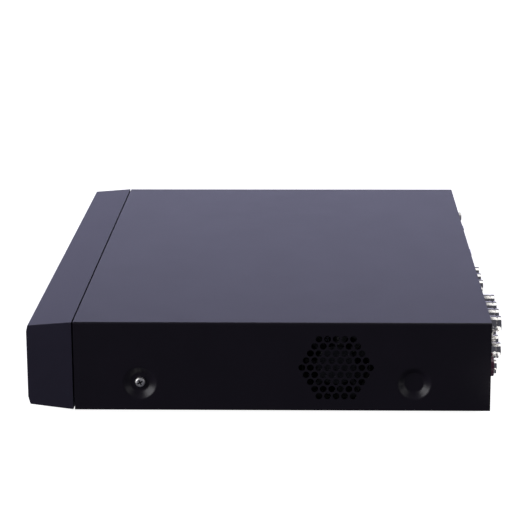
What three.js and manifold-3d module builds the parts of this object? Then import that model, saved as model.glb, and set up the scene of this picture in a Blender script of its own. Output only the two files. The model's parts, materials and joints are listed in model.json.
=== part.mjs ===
// Desktop video recorder (DVR) in a slim sheet-steel case with a moulded front bezel.
// Millimetres, +Z up. The front looks along -Y, the connectors along +Y, and the side with
// the fan vent along +X. The origin is on the resting surface, under the middle of the case.

import * as THREE from 'three';
import { mergeVertices } from 'three/addons/utils/BufferGeometryUtils.js';
import Module from 'manifold-3d';

const wasm = await Module();
wasm.setup();

// ---- driving dimensions ----

const GAP = 0.3;
const SHEET = 1;

const WIDTH = 375;
const FOOT_HEIGHT = 2.8;
const CASE_HEIGHT = 53.2;
const FRONT = -140;
const BEZEL_DEPTH = 27;
const COVER_DEPTH = 244;
const CONNECTOR_TIP = 140;

const HALF_WIDTH = WIDTH / 2;
const TOP = FOOT_HEIGHT + CASE_HEIGHT;
const FLOOR_TOP = FOOT_HEIGHT + SHEET;
const SEAM = FRONT + BEZEL_DEPTH;
const REAR = SEAM + COVER_DEPTH;
const SEAM_GAP = 0.6;
const COVER_BEND = 1.3;

const INNER_HALF = HALF_WIDTH - SHEET - GAP;
const INNER_TOP = TOP - SHEET - GAP;
const FRONT_WALL = SEAM + 0.8;
const PANEL_FRONT = REAR - 2;
const PANEL_REAR = PANEL_FRONT + SHEET;

const DIMPLE = { radius: 10, floorRadius: 5.5, depth: 3, z: 19.2, sides: 24 };
const SCREW_DIMPLE_Y = -74;
const BLANK_DIMPLE_Y = 86.6;
const TAB_OUTER = HALF_WIDTH - DIMPLE.depth - SHEET - GAP;

const VENT = { y: 40.9, z: 28.9, pitch: 5, holeRadius: 2, middleRow: 4, holeSides: 6 };
const FAN = { size: 40, depth: 10, bore: 19, inner: 172.4, hub: 11.7, axle: 1.5, blades: 7 };

const SCREW = { headRadius: 3, headHeight: 2.2, shankRadius: 1.45, hole: 1.9, sides: 12 };
const FOOT = { x: 158, frontY: -92, rearY: 108, radius: 9, topRadius: 8.2 };

const BEZEL_WALL = 2.2;
const FACE_Z = 30;
const WINDOW = { x0: -150, x1: 60, height: 16, corner: 4 };
const BUTTON = { x: 125, radius: 6.2, flange: 7.4 };
const FRONT_USB_X = 155;
const LAMPS = { power: 80, disk: 90, network: 100 };
const LAMP_RADIUS = 1.5;
const RECEIVER_X = 48;
const FRONT_BOARD_Y = -121.5;
const BOARD = 1.6;

const MAIN_BOARD_Z = 9.1;
const BOARD_TOP = MAIN_BOARD_Z + BOARD;
const PORT_BASE = BOARD_TOP + GAP;

const DISK = { x: -160, y: -105, z: 8.1, width: 101.6, length: 147, height: 26.1 };
const DISK_HOLES = { side: 3.18, first: 29.5, spacing: 76.2 };

const BNC = { firstX: 145.5, pitch: 16.5, columns: 4, lowZ: 27.5, highZ: 44, radius: 4.8 };
const AUDIO = { firstX: 45, pitch: 17, columns: 3, lowZ: 24, highZ: 41, tip: 137 };
const MICROPHONE = { x: 154.5, z: 20 };
const VGA = { x: -48.5, z: 37.5 };
const HDMI = { x: -48.5, width: 16, height: 6.6 };
const LAN = { x: -72, width: 16, height: 13.6 };
const USB = { width: 14.6, height: 7.2, openingWidth: 12.6, openingHeight: 5.2 };
const REAR_USB_X = -90;
const SWITCH = { x: -103.5, z: 38.5, width: 15, height: 21.6, openingWidth: 11.6, openingHeight: 18.8 };
const ROCKER_TILT = THREE.MathUtils.degToRad(11);
const DC_INLET = { x: -127, z: 17.5, width: 9.6, height: 11.4, bore: 3.2 };
const TERMINALS = { x: -158, width: 29, height: 12 };
const GROUND = { x: -132.5, z: 47 };
const COVER_SCREW_X = [75, -20, -165];
const COVER_SCREW_Z = 48.5;

// ---- colours ----

const PAINT = 0x191a20;
const PLASTIC = 0x1d1f27;
const GLOSS = 0x08080a;
const NICKEL = 0xc9c9cc;
const ZINC = 0xb4b6ba;
const RUBBER = 0x111113;
const CIRCUIT = 0x1c4a2e;
const LENS = 0xdfe6e8;
const ALUMINIUM = 0x8d9096;
const CASTING = 0x9a9ca0;
const TINPLATE = 0xbcbcbe;
const RED_LEAD = 0x8c1d1d;
const PINK = 0x9a2a4a;
const GREEN = 0x2c6b3c;

// ---- shape helpers ----

function solid(source) {
  const bare = source.clone();
  bare.deleteAttribute('normal');
  bare.deleteAttribute('uv');
  const merged = mergeVertices(bare, 1e-4);
  const corners = merged.attributes.position.array;
  const faces = [];
  let volume = 0;
  const point = (i) => new THREE.Vector3(corners[3 * i], corners[3 * i + 1], corners[3 * i + 2]);
  for (let i = 0; i < merged.index.count; i += 3) {
    const [a, b, c] = [0, 1, 2].map((k) => merged.index.getX(i + k));
    if (a === b || b === c || c === a) continue;
    faces.push(a, b, c);
    volume += point(a).dot(point(b).cross(point(c)));
  }
  if (volume < 0) faces.reverse();
  return new wasm.Manifold(new wasm.Mesh({
    numProp: 3,
    vertProperties: new Float32Array(corners),
    triVerts: new Uint32Array(faces),
  }));
}

function node(name, shape, color, roughness, metalness) {
  const mesh = shape.getMesh();
  const geometry = new THREE.BufferGeometry();
  geometry.setAttribute('position', new THREE.BufferAttribute(mesh.vertProperties, 3));
  geometry.setIndex(new THREE.BufferAttribute(mesh.triVerts, 1));
  geometry.computeVertexNormals();
  const part = new THREE.Mesh(geometry, new THREE.MeshStandardMaterial({ color, roughness, metalness }));
  part.name = name;
  return part;
}

const painted = (name, shape) => node(name, shape, PAINT, 0.5, 0);
const moulded = (name, shape, color = PLASTIC) => node(name, shape, color, 0.5, 0);
const plated = (name, shape, color = NICKEL) => node(name, shape, color, 0.25, 1);

function box(x0, x1, y0, y1, z0, z1) {
  const geometry = new THREE.BoxGeometry(x1 - x0, y1 - y0, z1 - z0);
  return solid(geometry.translate((x0 + x1) / 2, (y0 + y1) / 2, (z0 + z1) / 2));
}

// A box given by its width and height about a centre in X and Z, and its two ends in Y.
const block = (x, z, width, height, y0, y1) => (
  box(x - width / 2, x + width / 2, y0, y1, z - height / 2, z + height / 2));

const union = (shapes) => shapes.reduce((sum, shape) => sum.add(shape));
const cut = (shape, tools) => shape.subtract(union(tools));

// A round piece or tool along Y: profile points are [radius, y].
function turned(x, z, sides, profile) {
  const points = profile.map(([r, y]) => new THREE.Vector2(r, y));
  return solid(new THREE.LatheGeometry(points, sides).translate(x, 0, z));
}

const rodY = (x, z, radius, y0, y1, sides) => (
  turned(x, z, sides, [[0, y0], [radius, y0], [radius, y1], [0, y1]]));

// A round piece along X on one side of the case: points are [radius, distance from the middle].
function turnedX(side, y, z, sides, profile) {
  const points = profile.map(([r, x]) => new THREE.Vector2(r, x));
  const geometry = new THREE.LatheGeometry(points, sides).rotateZ(-side * Math.PI / 2);
  return solid(geometry.translate(0, y, z));
}

// A round piece along Z: profile points are [radius, z].
function turnedZ(x, y, sides, profile) {
  const points = profile.map(([r, z]) => new THREE.Vector2(r, z));
  return solid(new THREE.LatheGeometry(points, sides).rotateX(Math.PI / 2).translate(x, y, 0));
}

const rodZ = (x, y, radius, z0, z1, sides) => (
  turnedZ(x, y, sides, [[0, z0], [radius, z0], [radius, z1], [0, z1]]));

// An outline drawn in (Y, Z), extruded from x0 to x1.
function extrudeX(outline, x0, x1) {
  const geometry = new THREE.ExtrudeGeometry(new THREE.Shape(outline), {
    depth: x1 - x0, bevelEnabled: false,
  });
  const axes = new THREE.Matrix4().makeBasis(
    new THREE.Vector3(0, 1, 0), new THREE.Vector3(0, 0, 1), new THREE.Vector3(1, 0, 0));
  return solid(geometry.applyMatrix4(axes).translate(x0, 0, 0));
}

// A shape drawn in (X, Z), extruded from y0 to y1.
function extrudeY(shape, y0, y1, curveSegments = 3) {
  const geometry = new THREE.ExtrudeGeometry(shape, {
    depth: y1 - y0, bevelEnabled: false, curveSegments,
  });
  return solid(geometry.rotateX(Math.PI / 2).translate(0, y1, 0));
}

function roundedPlate(x0, x1, z0, z1, radius) {
  const shape = new THREE.Shape();
  shape.absarc(x1 - radius, z0 + radius, radius, -Math.PI / 2, 0);
  shape.absarc(x1 - radius, z1 - radius, radius, 0, Math.PI / 2);
  shape.absarc(x0 + radius, z1 - radius, radius, Math.PI / 2, Math.PI);
  shape.absarc(x0 + radius, z0 + radius, radius, Math.PI, Math.PI * 1.5);
  return shape;
}

const SIDES = [1, -1];

// ---- casing ----

function coverSection() {
  const inner = HALF_WIDTH - SHEET;
  const bendX = HALF_WIDTH - COVER_BEND;
  const bendZ = TOP - COVER_BEND;
  const shape = new THREE.Shape();
  shape.moveTo(HALF_WIDTH, FOOT_HEIGHT);
  shape.absarc(bendX, bendZ, COVER_BEND, 0, Math.PI / 2);
  shape.absarc(-bendX, bendZ, COVER_BEND, Math.PI / 2, Math.PI);
  shape.lineTo(-HALF_WIDTH, FOOT_HEIGHT);
  shape.lineTo(-inner, FOOT_HEIGHT);
  shape.absarc(-bendX, bendZ, COVER_BEND - SHEET, Math.PI, Math.PI / 2, true);
  shape.absarc(bendX, bendZ, COVER_BEND - SHEET, Math.PI / 2, 0, true);
  shape.lineTo(inner, FOOT_HEIGHT);
  return shape;
}

// One conical stamping: it widens by the same slope from its floor to the surface.
function dimpleCone(side, y, surface, overshoot) {
  const slope = (DIMPLE.radius - DIMPLE.floorRadius) / DIMPLE.depth;
  return turnedX(side, y, DIMPLE.z, DIMPLE.sides, [
    [0, surface - DIMPLE.depth],
    [DIMPLE.floorRadius, surface - DIMPLE.depth],
    [DIMPLE.radius + slope * overshoot, surface + overshoot],
    [0, surface + overshoot],
  ]);
}

function ventHoles() {
  const holes = [];
  const profile = [[0, 0], [VENT.holeRadius, 0], [VENT.holeRadius, WIDTH + 2], [0, WIDTH + 2]];
  for (let row = -VENT.middleRow; row <= VENT.middleRow; row++) {
    const count = 2 * VENT.middleRow + 1 - Math.abs(row);
    const z = VENT.z + row * VENT.pitch * Math.sqrt(3) / 2;
    for (let i = 0; i < count; i++) {
      const y = VENT.y + (i - (count - 1) / 2) * VENT.pitch;
      holes.push(turnedX(1, y, z, VENT.holeSides, profile).translate([-HALF_WIDTH - 1, 0, 0]));
    }
  }
  return holes;
}

function topCover() {
  const dimples = SIDES.flatMap((side) => [SCREW_DIMPLE_Y, BLANK_DIMPLE_Y].map((y) => [side, y]));
  const bosses = dimples.map(([side, y]) => dimpleCone(side, y, HALF_WIDTH - SHEET, SHEET / 2));
  const dishes = dimples.map(([side, y]) => dimpleCone(side, y, HALF_WIDTH, SHEET / 2));
  const screwHoles = SIDES.map((side) => turnedX(side, SCREW_DIMPLE_Y, DIMPLE.z, 8, [
    [0, TAB_OUTER], [SCREW.hole, TAB_OUTER], [SCREW.hole, HALF_WIDTH], [0, HALF_WIDTH]]));
  const tabs = COVER_SCREW_X.map((x) => (
    box(x - 8, x + 8, PANEL_FRONT - GAP - SHEET, PANEL_FRONT - GAP, 43, TOP - SHEET / 2)));
  const tabHoles = COVER_SCREW_X.map((x) => (
    rodY(x, COVER_SCREW_Z, SCREW.hole, PANEL_FRONT - 2, PANEL_FRONT, 8)));
  const shell = extrudeY(coverSection(), SEAM + SEAM_GAP - 0.2, REAR, 3);
  return cut(union([shell, ...bosses, ...tabs]),
    [...dishes, ...screwHoles, ...tabHoles, ...ventHoles()]);
}

const diskHoleX = [DISK.x + DISK_HOLES.side, DISK.x + DISK.width - DISK_HOLES.side];
const diskHoleY = [0, 1].map((i) => DISK.y + DISK_HOLES.first + i * DISK_HOLES.spacing);
const diskHoles = diskHoleX.flatMap((x) => diskHoleY.map((y) => [x, y]));
const boardSpots = [[-140, 62], [-140, 112], [-20, 112], [55, 0], [80, 112], [150, 0]];

const BEZEL_HOOK_X = [-150, -50, 50, 150];
const HOOK_Z = [8.5, TOP - 7];

function baseTray() {
  const rearEdge = PANEL_FRONT - GAP;
  const plate = box(-INNER_HALF, INNER_HALF, FRONT_WALL, rearEdge, FOOT_HEIGHT, FLOOR_TOP);
  const frontWall = box(-INNER_HALF, INNER_HALF, FRONT_WALL, FRONT_WALL + SHEET,
    FOOT_HEIGHT, INNER_TOP);
  const sidePieces = SIDES.flatMap((side) => {
    const lip = box(INNER_HALF - SHEET, INNER_HALF, FRONT_WALL, REAR - 5, FOOT_HEIGHT, 8.5);
    const tab = box(TAB_OUTER - SHEET, TAB_OUTER, SCREW_DIMPLE_Y - 10, SCREW_DIMPLE_Y + 10,
      FOOT_HEIGHT, DIMPLE.z + 9);
    return side > 0 ? [lip, tab] : [lip.mirror([1, 0, 0]), tab.mirror([1, 0, 0])];
  });
  const fanWall = box(FAN.inner - GAP - SHEET, FAN.inner - GAP, VENT.y - 23, VENT.y + 23,
    FOOT_HEIGHT, VENT.z + 21);
  const diskBosses = diskHoles.map(([x, y]) => rodZ(x, y, 4.5, FOOT_HEIGHT, DISK.z - GAP, 12));
  const boardBosses = boardSpots.map(([x, y]) => turnedZ(x, y, 10, [
    [0, FOOT_HEIGHT], [4.5, FOOT_HEIGHT], [3, MAIN_BOARD_Z - GAP], [0, MAIN_BOARD_Z - GAP]]));
  const holes = [
    ...diskHoles.map(([x, y]) => rodZ(x, y, SCREW.hole, 0, DISK.z, 8)),
    ...SIDES.map((side) => turnedX(side, SCREW_DIMPLE_Y, DIMPLE.z, 8, [
      [0, TAB_OUTER - 2], [SCREW.hole, TAB_OUTER - 2], [SCREW.hole, TAB_OUTER + 1], [0, TAB_OUTER + 1]])),
    turnedX(1, VENT.y, VENT.z, 16, [
      [0, FAN.inner - 3], [FAN.bore, FAN.inner - 3], [FAN.bore, FAN.inner], [0, FAN.inner]]),
    ...HOOK_Z.flatMap((z) => BEZEL_HOOK_X.map((x) => (
      block(x, z, 12, 3, FRONT_WALL - 1, FRONT_WALL + SHEET + 1)))),
    block(110, FACE_Z, 60, 14, FRONT_WALL - 1, FRONT_WALL + SHEET + 1),
  ];
  return cut(union([plate, frontWall, ...sidePieces, fanWall, ...diskBosses, ...boardBosses]), holes);
}

const audioSpots = [AUDIO.highZ, AUDIO.lowZ].flatMap((z) => (
  Array.from({ length: AUDIO.columns }, (_, i) => [AUDIO.firstX - i * AUDIO.pitch, z])));
const bncSpots = [BNC.highZ, BNC.lowZ].flatMap((z) => (
  Array.from({ length: BNC.columns }, (_, i) => [BNC.firstX - i * BNC.pitch, z])));

function rearPanel() {
  const plate = box(-INNER_HALF, INNER_HALF, PANEL_FRONT, PANEL_REAR, FOOT_HEIGHT, INNER_TOP);
  const flange = box(-INNER_HALF + 2, INNER_HALF - 2, PANEL_FRONT - 8, PANEL_FRONT + SHEET / 2,
    FLOOR_TOP + GAP, FLOOR_TOP + GAP + SHEET);
  const [y0, y1] = [PANEL_FRONT - 1, PANEL_REAR + 1];
  const opening = (x, z, width, height) => block(x, z, width + 2 * GAP, height + 2 * GAP, y0, y1);
  const port = ({ x, width, height }) => opening(x, PORT_BASE + height / 2, width, height);
  const holes = [
    ...bncSpots.map(([x, z]) => rodY(x, z, 6.2, y0, y1, 12)),
    ...[...audioSpots, [MICROPHONE.x, MICROPHONE.z]].map(([x, z]) => rodY(x, z, 6.3, y0, y1, 12)),
    opening(VGA.x, VGA.z, 31, 12.5),
    port(HDMI),
    port(LAN),
    port({ ...USB, x: REAR_USB_X, height: 2 * USB.height }),
    opening(SWITCH.x, SWITCH.z, SWITCH.width - 2, SWITCH.height - 2),
    opening(DC_INLET.x, DC_INLET.z, DC_INLET.width, DC_INLET.height),
    port(TERMINALS),
    ...COVER_SCREW_X.map((x) => rodY(x, COVER_SCREW_Z, SCREW.hole, y0, y1, 8)),
    rodY(GROUND.x, GROUND.z, SCREW.hole, y0, y1, 8),
  ];
  return cut(plate.add(flange), holes);
}

// The bezel's end view: a top that falls towards the front, a short slope, the upright face
// and a chamfered foot. inset moves every wall inwards.
function bezelOutline(inset, rear) {
  return [
    [rear, TOP - inset],
    [FRONT + 0.8 + inset * 0.6, TOP - 2 - inset],
    [FRONT + inset, TOP - 5.65 - inset * 0.6],
    [FRONT + inset, FOOT_HEIGHT + 7.8 + inset * 0.6],
    [FRONT + 1.2 + inset * 0.6, FOOT_HEIGHT + 3.2 + inset],
    [rear, FOOT_HEIGHT + inset],
  ].map(([y, z]) => new THREE.Vector2(y, z));
}

function frontBezel() {
  const rear = SEAM - 0.2;
  const shell = extrudeX(bezelOutline(0, rear), -HALF_WIDTH, HALF_WIDTH)
    .subtract(extrudeX(bezelOutline(BEZEL_WALL, rear + 1), -HALF_WIDTH + BEZEL_WALL,
      HALF_WIDTH - BEZEL_WALL));
  const hooks = HOOK_Z.flatMap((z) => BEZEL_HOOK_X.map((x) => {
    const wallZ = z > FACE_Z ? z + 5 : z - 4;
    const arm = block(x, z, 8, 1.5, SEAM - 4, FRONT_WALL + 3.5);
    return arm.add(box(x - 4, x + 4, SEAM - 4, SEAM - 2, Math.min(z, wallZ), Math.max(z, wallZ)));
  }));
  const [y0, y1] = [FRONT - 1, FRONT + BEZEL_WALL + 1];
  const windowHole = extrudeY(roundedPlate(WINDOW.x0 - GAP, WINDOW.x1 + GAP,
    FACE_Z - WINDOW.height / 2 - GAP, FACE_Z + WINDOW.height / 2 + GAP, WINDOW.corner + GAP), y0, y1);
  const holes = [
    windowHole,
    block(FRONT_USB_X, FACE_Z, USB.width + 2 * GAP, USB.height + 2 * GAP, y0, y1),
    rodY(BUTTON.x, FACE_Z, BUTTON.radius + 0.4, y0, y1, 24),
    ...Object.values(LAMPS).map((x) => rodY(x, FACE_Z, LAMP_RADIUS + 0.4, y0, y1, 10)),
  ];
  return cut(union([shell, ...hooks]), holes);
}

// ---- front controls ----

const WINDOW_FACE = FRONT + 0.3;

const frontWindow = () => extrudeY(roundedPlate(WINDOW.x0, WINDOW.x1,
  FACE_Z - WINDOW.height / 2, FACE_Z + WINDOW.height / 2, WINDOW.corner),
WINDOW_FACE, WINDOW_FACE + BEZEL_WALL);

function powerButton() {
  const back = FRONT + BEZEL_WALL + 0.5;
  return turned(BUTTON.x, FACE_Z, 24, [
    [0, FRONT + 0.3], [BUTTON.radius - 0.4, FRONT + 0.3], [BUTTON.radius, FRONT + 0.7],
    [BUTTON.radius, back], [BUTTON.flange, back], [BUTTON.flange, back + 1.2],
    [2.5, back + 1.2], [2.5, FRONT_BOARD_Y - 2.5], [0, FRONT_BOARD_Y - 2.5],
  ]);
}

const lamp = () => rodY(0, 0, LAMP_RADIUS, FRONT + 0.2, FRONT_BOARD_Y - GAP, 10);

function frontBoard() {
  const board = block(109, FACE_Z, 138, 34, FRONT_BOARD_Y, FRONT_BOARD_Y + BOARD);
  const buttonSwitch = block(BUTTON.x, FACE_Z, 6, 6, FRONT_BOARD_Y - 1.2, FRONT_BOARD_Y + 0.1);
  return board.add(buttonSwitch);
}

function infraredReceiver() {
  const body = block(RECEIVER_X, FACE_Z, 6, 7.4, -126.5, FRONT_BOARD_Y - GAP);
  const lens = turned(RECEIVER_X, FACE_Z + 0.6, 12, [[0, -126], [2.6, -126], [1.9, -128.2], [0, -129]]);
  return body.add(lens);
}

// A metal socket that is a box with one or more straight openings in its mouth at y0.
function socket(x, z, width, height, mouth, back, openings) {
  const depth = Math.abs(back - mouth) - 1;
  const inward = Math.sign(back - mouth);
  return cut(block(x, z, width, height, Math.min(mouth, back), Math.max(mouth, back)),
    openings.map(([dx, dz, w, h]) => {
      const ends = [mouth - inward, mouth + inward * depth];
      return block(x + dx, z + dz, w, h, Math.min(...ends), Math.max(...ends));
    }));
}

const frontUsb = () => socket(FRONT_USB_X, FACE_Z, USB.width, USB.height, FRONT + 0.4,
  FRONT_BOARD_Y - GAP, [[0, 0, USB.openingWidth, USB.openingHeight]]);

// ---- inside ----

function mainBoard() {
  const outline = [[-148, 54], [-148, 120.5], [160, 120.5], [160, -8], [-48, -8], [-48, 54]];
  const shape = new THREE.Shape(outline.map(([x, y]) => new THREE.Vector2(x, y)));
  const geometry = new THREE.ExtrudeGeometry(shape, { depth: BOARD, bevelEnabled: false });
  return solid(geometry.translate(0, 0, MAIN_BOARD_Z));
}

function heatSink() {
  const base = box(10, 50, 45, 85, PORT_BASE, PORT_BASE + 3);
  const fins = Array.from({ length: 8 }, (_, i) => {
    const x = 10 + i * 38.8 / 7;
    return box(x, x + 1.2, 45, 85, PORT_BASE + 2, PORT_BASE + 14);
  });
  return union([base, ...fins]);
}

const CELL = { x: 100, y: 20, radius: 10, height: 3.2 };

const coinCell = () => rodZ(CELL.x, CELL.y, CELL.radius, PORT_BASE + 1.3,
  PORT_BASE + 1.3 + CELL.height, 20);

function cellHolder() {
  const ring = rodZ(CELL.x, CELL.y, CELL.radius + 2, PORT_BASE, PORT_BASE + 4, 20);
  return cut(ring, [
    rodZ(CELL.x, CELL.y, CELL.radius + GAP, PORT_BASE + 1, PORT_BASE + 5, 20),
    box(CELL.x - 5, CELL.x + 5, CELL.y, CELL.y + 14, PORT_BASE + 1, PORT_BASE + 5),
  ]);
}

function hardDisk() {
  const { x, y, z, width, length, height } = DISK;
  const chamfer = 2.5;
  const outline = [
    [x, z], [x + width, z], [x + width, z + height - chamfer], [x + width - chamfer, z + height],
    [x + chamfer, z + height], [x, z + height - chamfer],
  ].map(([u, v]) => new THREE.Vector2(u, v));
  const body = extrudeY(new THREE.Shape(outline), y, y + length);
  return cut(body, diskHoles.map(([hx, hy]) => rodZ(hx, hy, SCREW.hole, z - 1, z + 7, 8)));
}

function diskScrew() {
  const headTop = FOOT_HEIGHT - GAP;
  return turnedZ(0, 0, SCREW.sides, [
    [0, headTop - 1.5], [2.4, headTop - 1.5], [SCREW.headRadius, headTop - 0.9],
    [SCREW.headRadius, headTop], [SCREW.shankRadius, headTop],
    [SCREW.shankRadius, DISK.z + 6], [0, DISK.z + 6],
  ]);
}

// A flat lead from the back of the disk, arching over to a header on the main board.
function diskLead(x, width, boardY) {
  const thickness = 1.2;
  const start = DISK.y + DISK.length + GAP;
  const plug = box(x - width / 2 - 1, x + width / 2 + 1, start, start + 8, 10.8, 15.8);
  const header = box(x - width / 2 - 1, x + width / 2 + 1, boardY - 3, boardY + 3,
    PORT_BASE, PORT_BASE + 8);
  const middle = (start + 8 + boardY) / 2;
  const route = new THREE.CatmullRomCurve3([
    new THREE.Vector3(x, start + 6, 13.3), new THREE.Vector3(x, start + 12, 14.5),
    new THREE.Vector3(x, middle, 27), new THREE.Vector3(x, boardY - 1, 25),
    new THREE.Vector3(x, boardY, PORT_BASE + 6),
  ]);
  const [w, t] = [width / 2, thickness / 2];
  const section = new THREE.Shape([[-w, -t], [w, -t], [w, t], [-w, t]]
    .map(([u, v]) => new THREE.Vector2(u, v)));
  const tape = solid(new THREE.ExtrudeGeometry(section, {
    steps: 16, extrudePath: route, bevelEnabled: false,
  }));
  return union([plug, header, tape]);
}

// ---- fan ----

const FAN_OUTER = FAN.inner + FAN.depth;
const ringX = (radius, x0, x1, sides) => turnedX(1, VENT.y, VENT.z, sides, [
  [0, x0], [radius, x0], [radius, x1], [0, x1]]);

function fanFrame() {
  const half = FAN.size / 2;
  const body = box(FAN.inner, FAN_OUTER, VENT.y - half, VENT.y + half, VENT.z - half, VENT.z + half);
  const bore = ringX(FAN.bore, FAN.inner - 1, FAN_OUTER + 1, 28);
  const corners = [-16, 16].flatMap((dy) => [-16, 16].map((dz) => turnedX(1, VENT.y + dy, VENT.z + dz,
    8, [[0, FAN.inner - 1], [1.7, FAN.inner - 1], [1.7, FAN_OUTER + 1], [0, FAN_OUTER + 1]])));
  const hub = ringX(FAN.hub, FAN_OUTER - 2, FAN_OUTER, 20);
  const axle = ringX(FAN.axle, FAN.inner + 2.4, FAN_OUTER - 1, 12);
  const struts = [0, 1, 2, 3].map((i) => {
    const strut = box(FAN_OUTER - 2, FAN_OUTER, -1, 1, FAN.hub - 1, FAN.bore + 0.6);
    return strut.rotate([45 + i * 90, 0, 0]).translate([0, VENT.y, VENT.z]);
  });
  return union([cut(body, [bore, ...corners]), hub, axle, ...struts]);
}

function fanRotor() {
  const [x0, x1] = [FAN.inner + 0.6, FAN_OUTER - 2.4];
  const hub = turnedX(1, VENT.y, VENT.z, 20, [
    [0, x0], [FAN.hub - 0.6, x0], [FAN.hub, x0 + 0.6], [FAN.hub, x1], [FAN.axle + 0.4, x1],
    [FAN.axle + 0.4, x0 + 1.4], [0, x0 + 1.4]]);
  const bladeTip = FAN.bore - 0.7;
  const blades = Array.from({ length: FAN.blades }, (_, i) => {
    const root = FAN.hub - 0.6;
    const geometry = new THREE.BoxGeometry(1.1, 9, bladeTip - root);
    const blade = solid(geometry.rotateZ(THREE.MathUtils.degToRad(52)));
    return blade.translate([0, 0, (root + bladeTip) / 2])
      .rotate([i * 360 / FAN.blades, 0, 0])
      .translate([(x0 + x1) / 2, VENT.y, VENT.z]);
  });
  const sweep = ringX(bladeTip, x0 + 0.2, x1 - 0.2, 28);
  return hub.add(union(blades).intersect(sweep));
}

// ---- fasteners and feet ----

function coverScrewX(side) {
  const seat = HALF_WIDTH - DIMPLE.depth + GAP / 2;
  return turnedX(side, SCREW_DIMPLE_Y, DIMPLE.z, SCREW.sides, [
    [0, seat - 6], [SCREW.shankRadius, seat - 6], [SCREW.shankRadius, seat],
    [SCREW.headRadius, seat], [SCREW.headRadius, seat + 1.2],
    [SCREW.headRadius * 0.7, seat + SCREW.headHeight], [0, seat + SCREW.headHeight]]);
}

const rearScrew = () => turned(0, 0, SCREW.sides, [
  [0, PANEL_FRONT - 5], [SCREW.shankRadius, PANEL_FRONT - 5], [SCREW.shankRadius, PANEL_REAR + GAP],
  [SCREW.headRadius, PANEL_REAR + GAP], [SCREW.headRadius, PANEL_REAR + 1.4],
  [SCREW.headRadius * 0.7, PANEL_REAR + 2.3], [0, PANEL_REAR + 2.3]]);

// The earthing screw stands off the panel on a washer.
function groundScrew() {
  const washer = PANEL_REAR + GAP;
  return turned(GROUND.x, GROUND.z, SCREW.sides, [
    [0, PANEL_FRONT - 5], [SCREW.shankRadius, PANEL_FRONT - 5], [SCREW.shankRadius, washer],
    [4.2, washer], [4.2, washer + 1], [3.2, washer + 1], [3.2, washer + 4], [2.2, washer + 4.8],
    [0, washer + 4.8]]);
}

const foot = () => turnedZ(0, 0, 16, [
  [0, 0], [FOOT.radius, 0], [FOOT.topRadius, FOOT_HEIGHT - GAP], [0, FOOT_HEIGHT - GAP]]);

// ---- rear connectors ----

const HOUSING_REAR = PANEL_FRONT - GAP;

const stackHousing = (spots, margin) => {
  const xs = spots.map(([x]) => x);
  const top = Math.max(...spots.map(([, z]) => z)) + margin;
  return box(Math.min(...xs) - margin, Math.max(...xs) + margin, HOUSING_REAR - 14, HOUSING_REAR,
    PORT_BASE, top);
};

function bncHousing() {
  const notch = MICROPHONE.x - 6.5;
  return cut(stackHousing(bncSpots, 6.8), [
    box(notch, notch + 20, HOUSING_REAR - 20, HOUSING_REAR + 1, 0, BNC.lowZ)]);
}

// Panel boss, neck, bayonet barrel with its recess and insulator, and the two bayonet studs.
function bncJack() {
  const seat = PANEL_FRONT;
  const barrel = turned(0, 0, 12, [
    [0, seat], [5.8, seat], [5.8, seat + 2.2], [BNC.radius, seat + 2.4], [BNC.radius, CONNECTOR_TIP],
    [4.05, CONNECTOR_TIP], [4.05, CONNECTOR_TIP - 6.5], [2.4, CONNECTOR_TIP - 6.5],
    [2.4, CONNECTOR_TIP - 1.5], [0, CONNECTOR_TIP - 1.5]]);
  const studs = box(-5.5, 5.5, CONNECTOR_TIP - 4.6, CONNECTOR_TIP - 2.8, -0.9, 0.9)
    .subtract(rodY(0, 0, 4.4, CONNECTOR_TIP - 6, CONNECTOR_TIP, 12));
  return barrel.add(studs);
}

// Collar, shell and the pin socket of a phono jack.
const phonoJack = (collarFront) => turned(0, 0, 14, [
  [0, PANEL_FRONT], [5.8, PANEL_FRONT], [5.8, collarFront], [4.1, collarFront],
  [4.1, AUDIO.tip], [1.7, AUDIO.tip], [1.7, AUDIO.tip - 6], [0, AUDIO.tip - 6]]);

function microphoneJack() {
  const base = PORT_BASE - MICROPHONE.z;
  return union([
    phonoJack(AUDIO.tip - 1.6),
    rodY(0, 0, 5, HOUSING_REAR - 1, PANEL_FRONT + 1, 14),
    box(-5.5, 5.3, HOUSING_REAR - 12, HOUSING_REAR, base, 4.5),
  ]);
}

function vgaSocket() {
  const shell = new THREE.Shape();
  const [wide, narrow, half] = [8.6, 7.2, 4.1];
  shell.moveTo(VGA.x - wide, VGA.z + half);
  shell.lineTo(VGA.x - narrow, VGA.z - half);
  shell.lineTo(VGA.x + narrow, VGA.z - half);
  shell.lineTo(VGA.x + wide, VGA.z + half);
  const jackscrews = [-12.5, 12.5].map((dx) => (
    rodY(VGA.x + dx, VGA.z, 2.6, PANEL_FRONT + 0.5, PANEL_REAR + 3.2, 6)));
  return union([
    block(VGA.x, VGA.z, 31, 12.5, PANEL_FRONT, PANEL_REAR),
    block(VGA.x, VGA.z, 26, 11.5, PANEL_FRONT - 10, PANEL_FRONT + 0.5),
    box(VGA.x - 13, VGA.x - 9.5, PANEL_FRONT - 10, PANEL_FRONT - 1, PORT_BASE, VGA.z),
    box(VGA.x + 9.5, VGA.x + 13, PANEL_FRONT - 10, PANEL_FRONT - 1, PORT_BASE, VGA.z),
    extrudeY(shell, PANEL_REAR - 0.5, PANEL_REAR + 6),
    ...jackscrews,
  ]);
}

const hdmiSocket = () => socket(HDMI.x, PORT_BASE + HDMI.height / 2, HDMI.width, HDMI.height,
  PANEL_REAR + 1, PANEL_FRONT - 12, [[0, 0, 14.2, 4.8]]);

const lanSocket = () => socket(LAN.x, PORT_BASE + LAN.height / 2, LAN.width, LAN.height,
  PANEL_REAR + 1.5, PANEL_FRONT - 14, [[0, -0.4, 11.9, 8.2], [0, 4.4, 6, 2.4]]);

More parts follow.
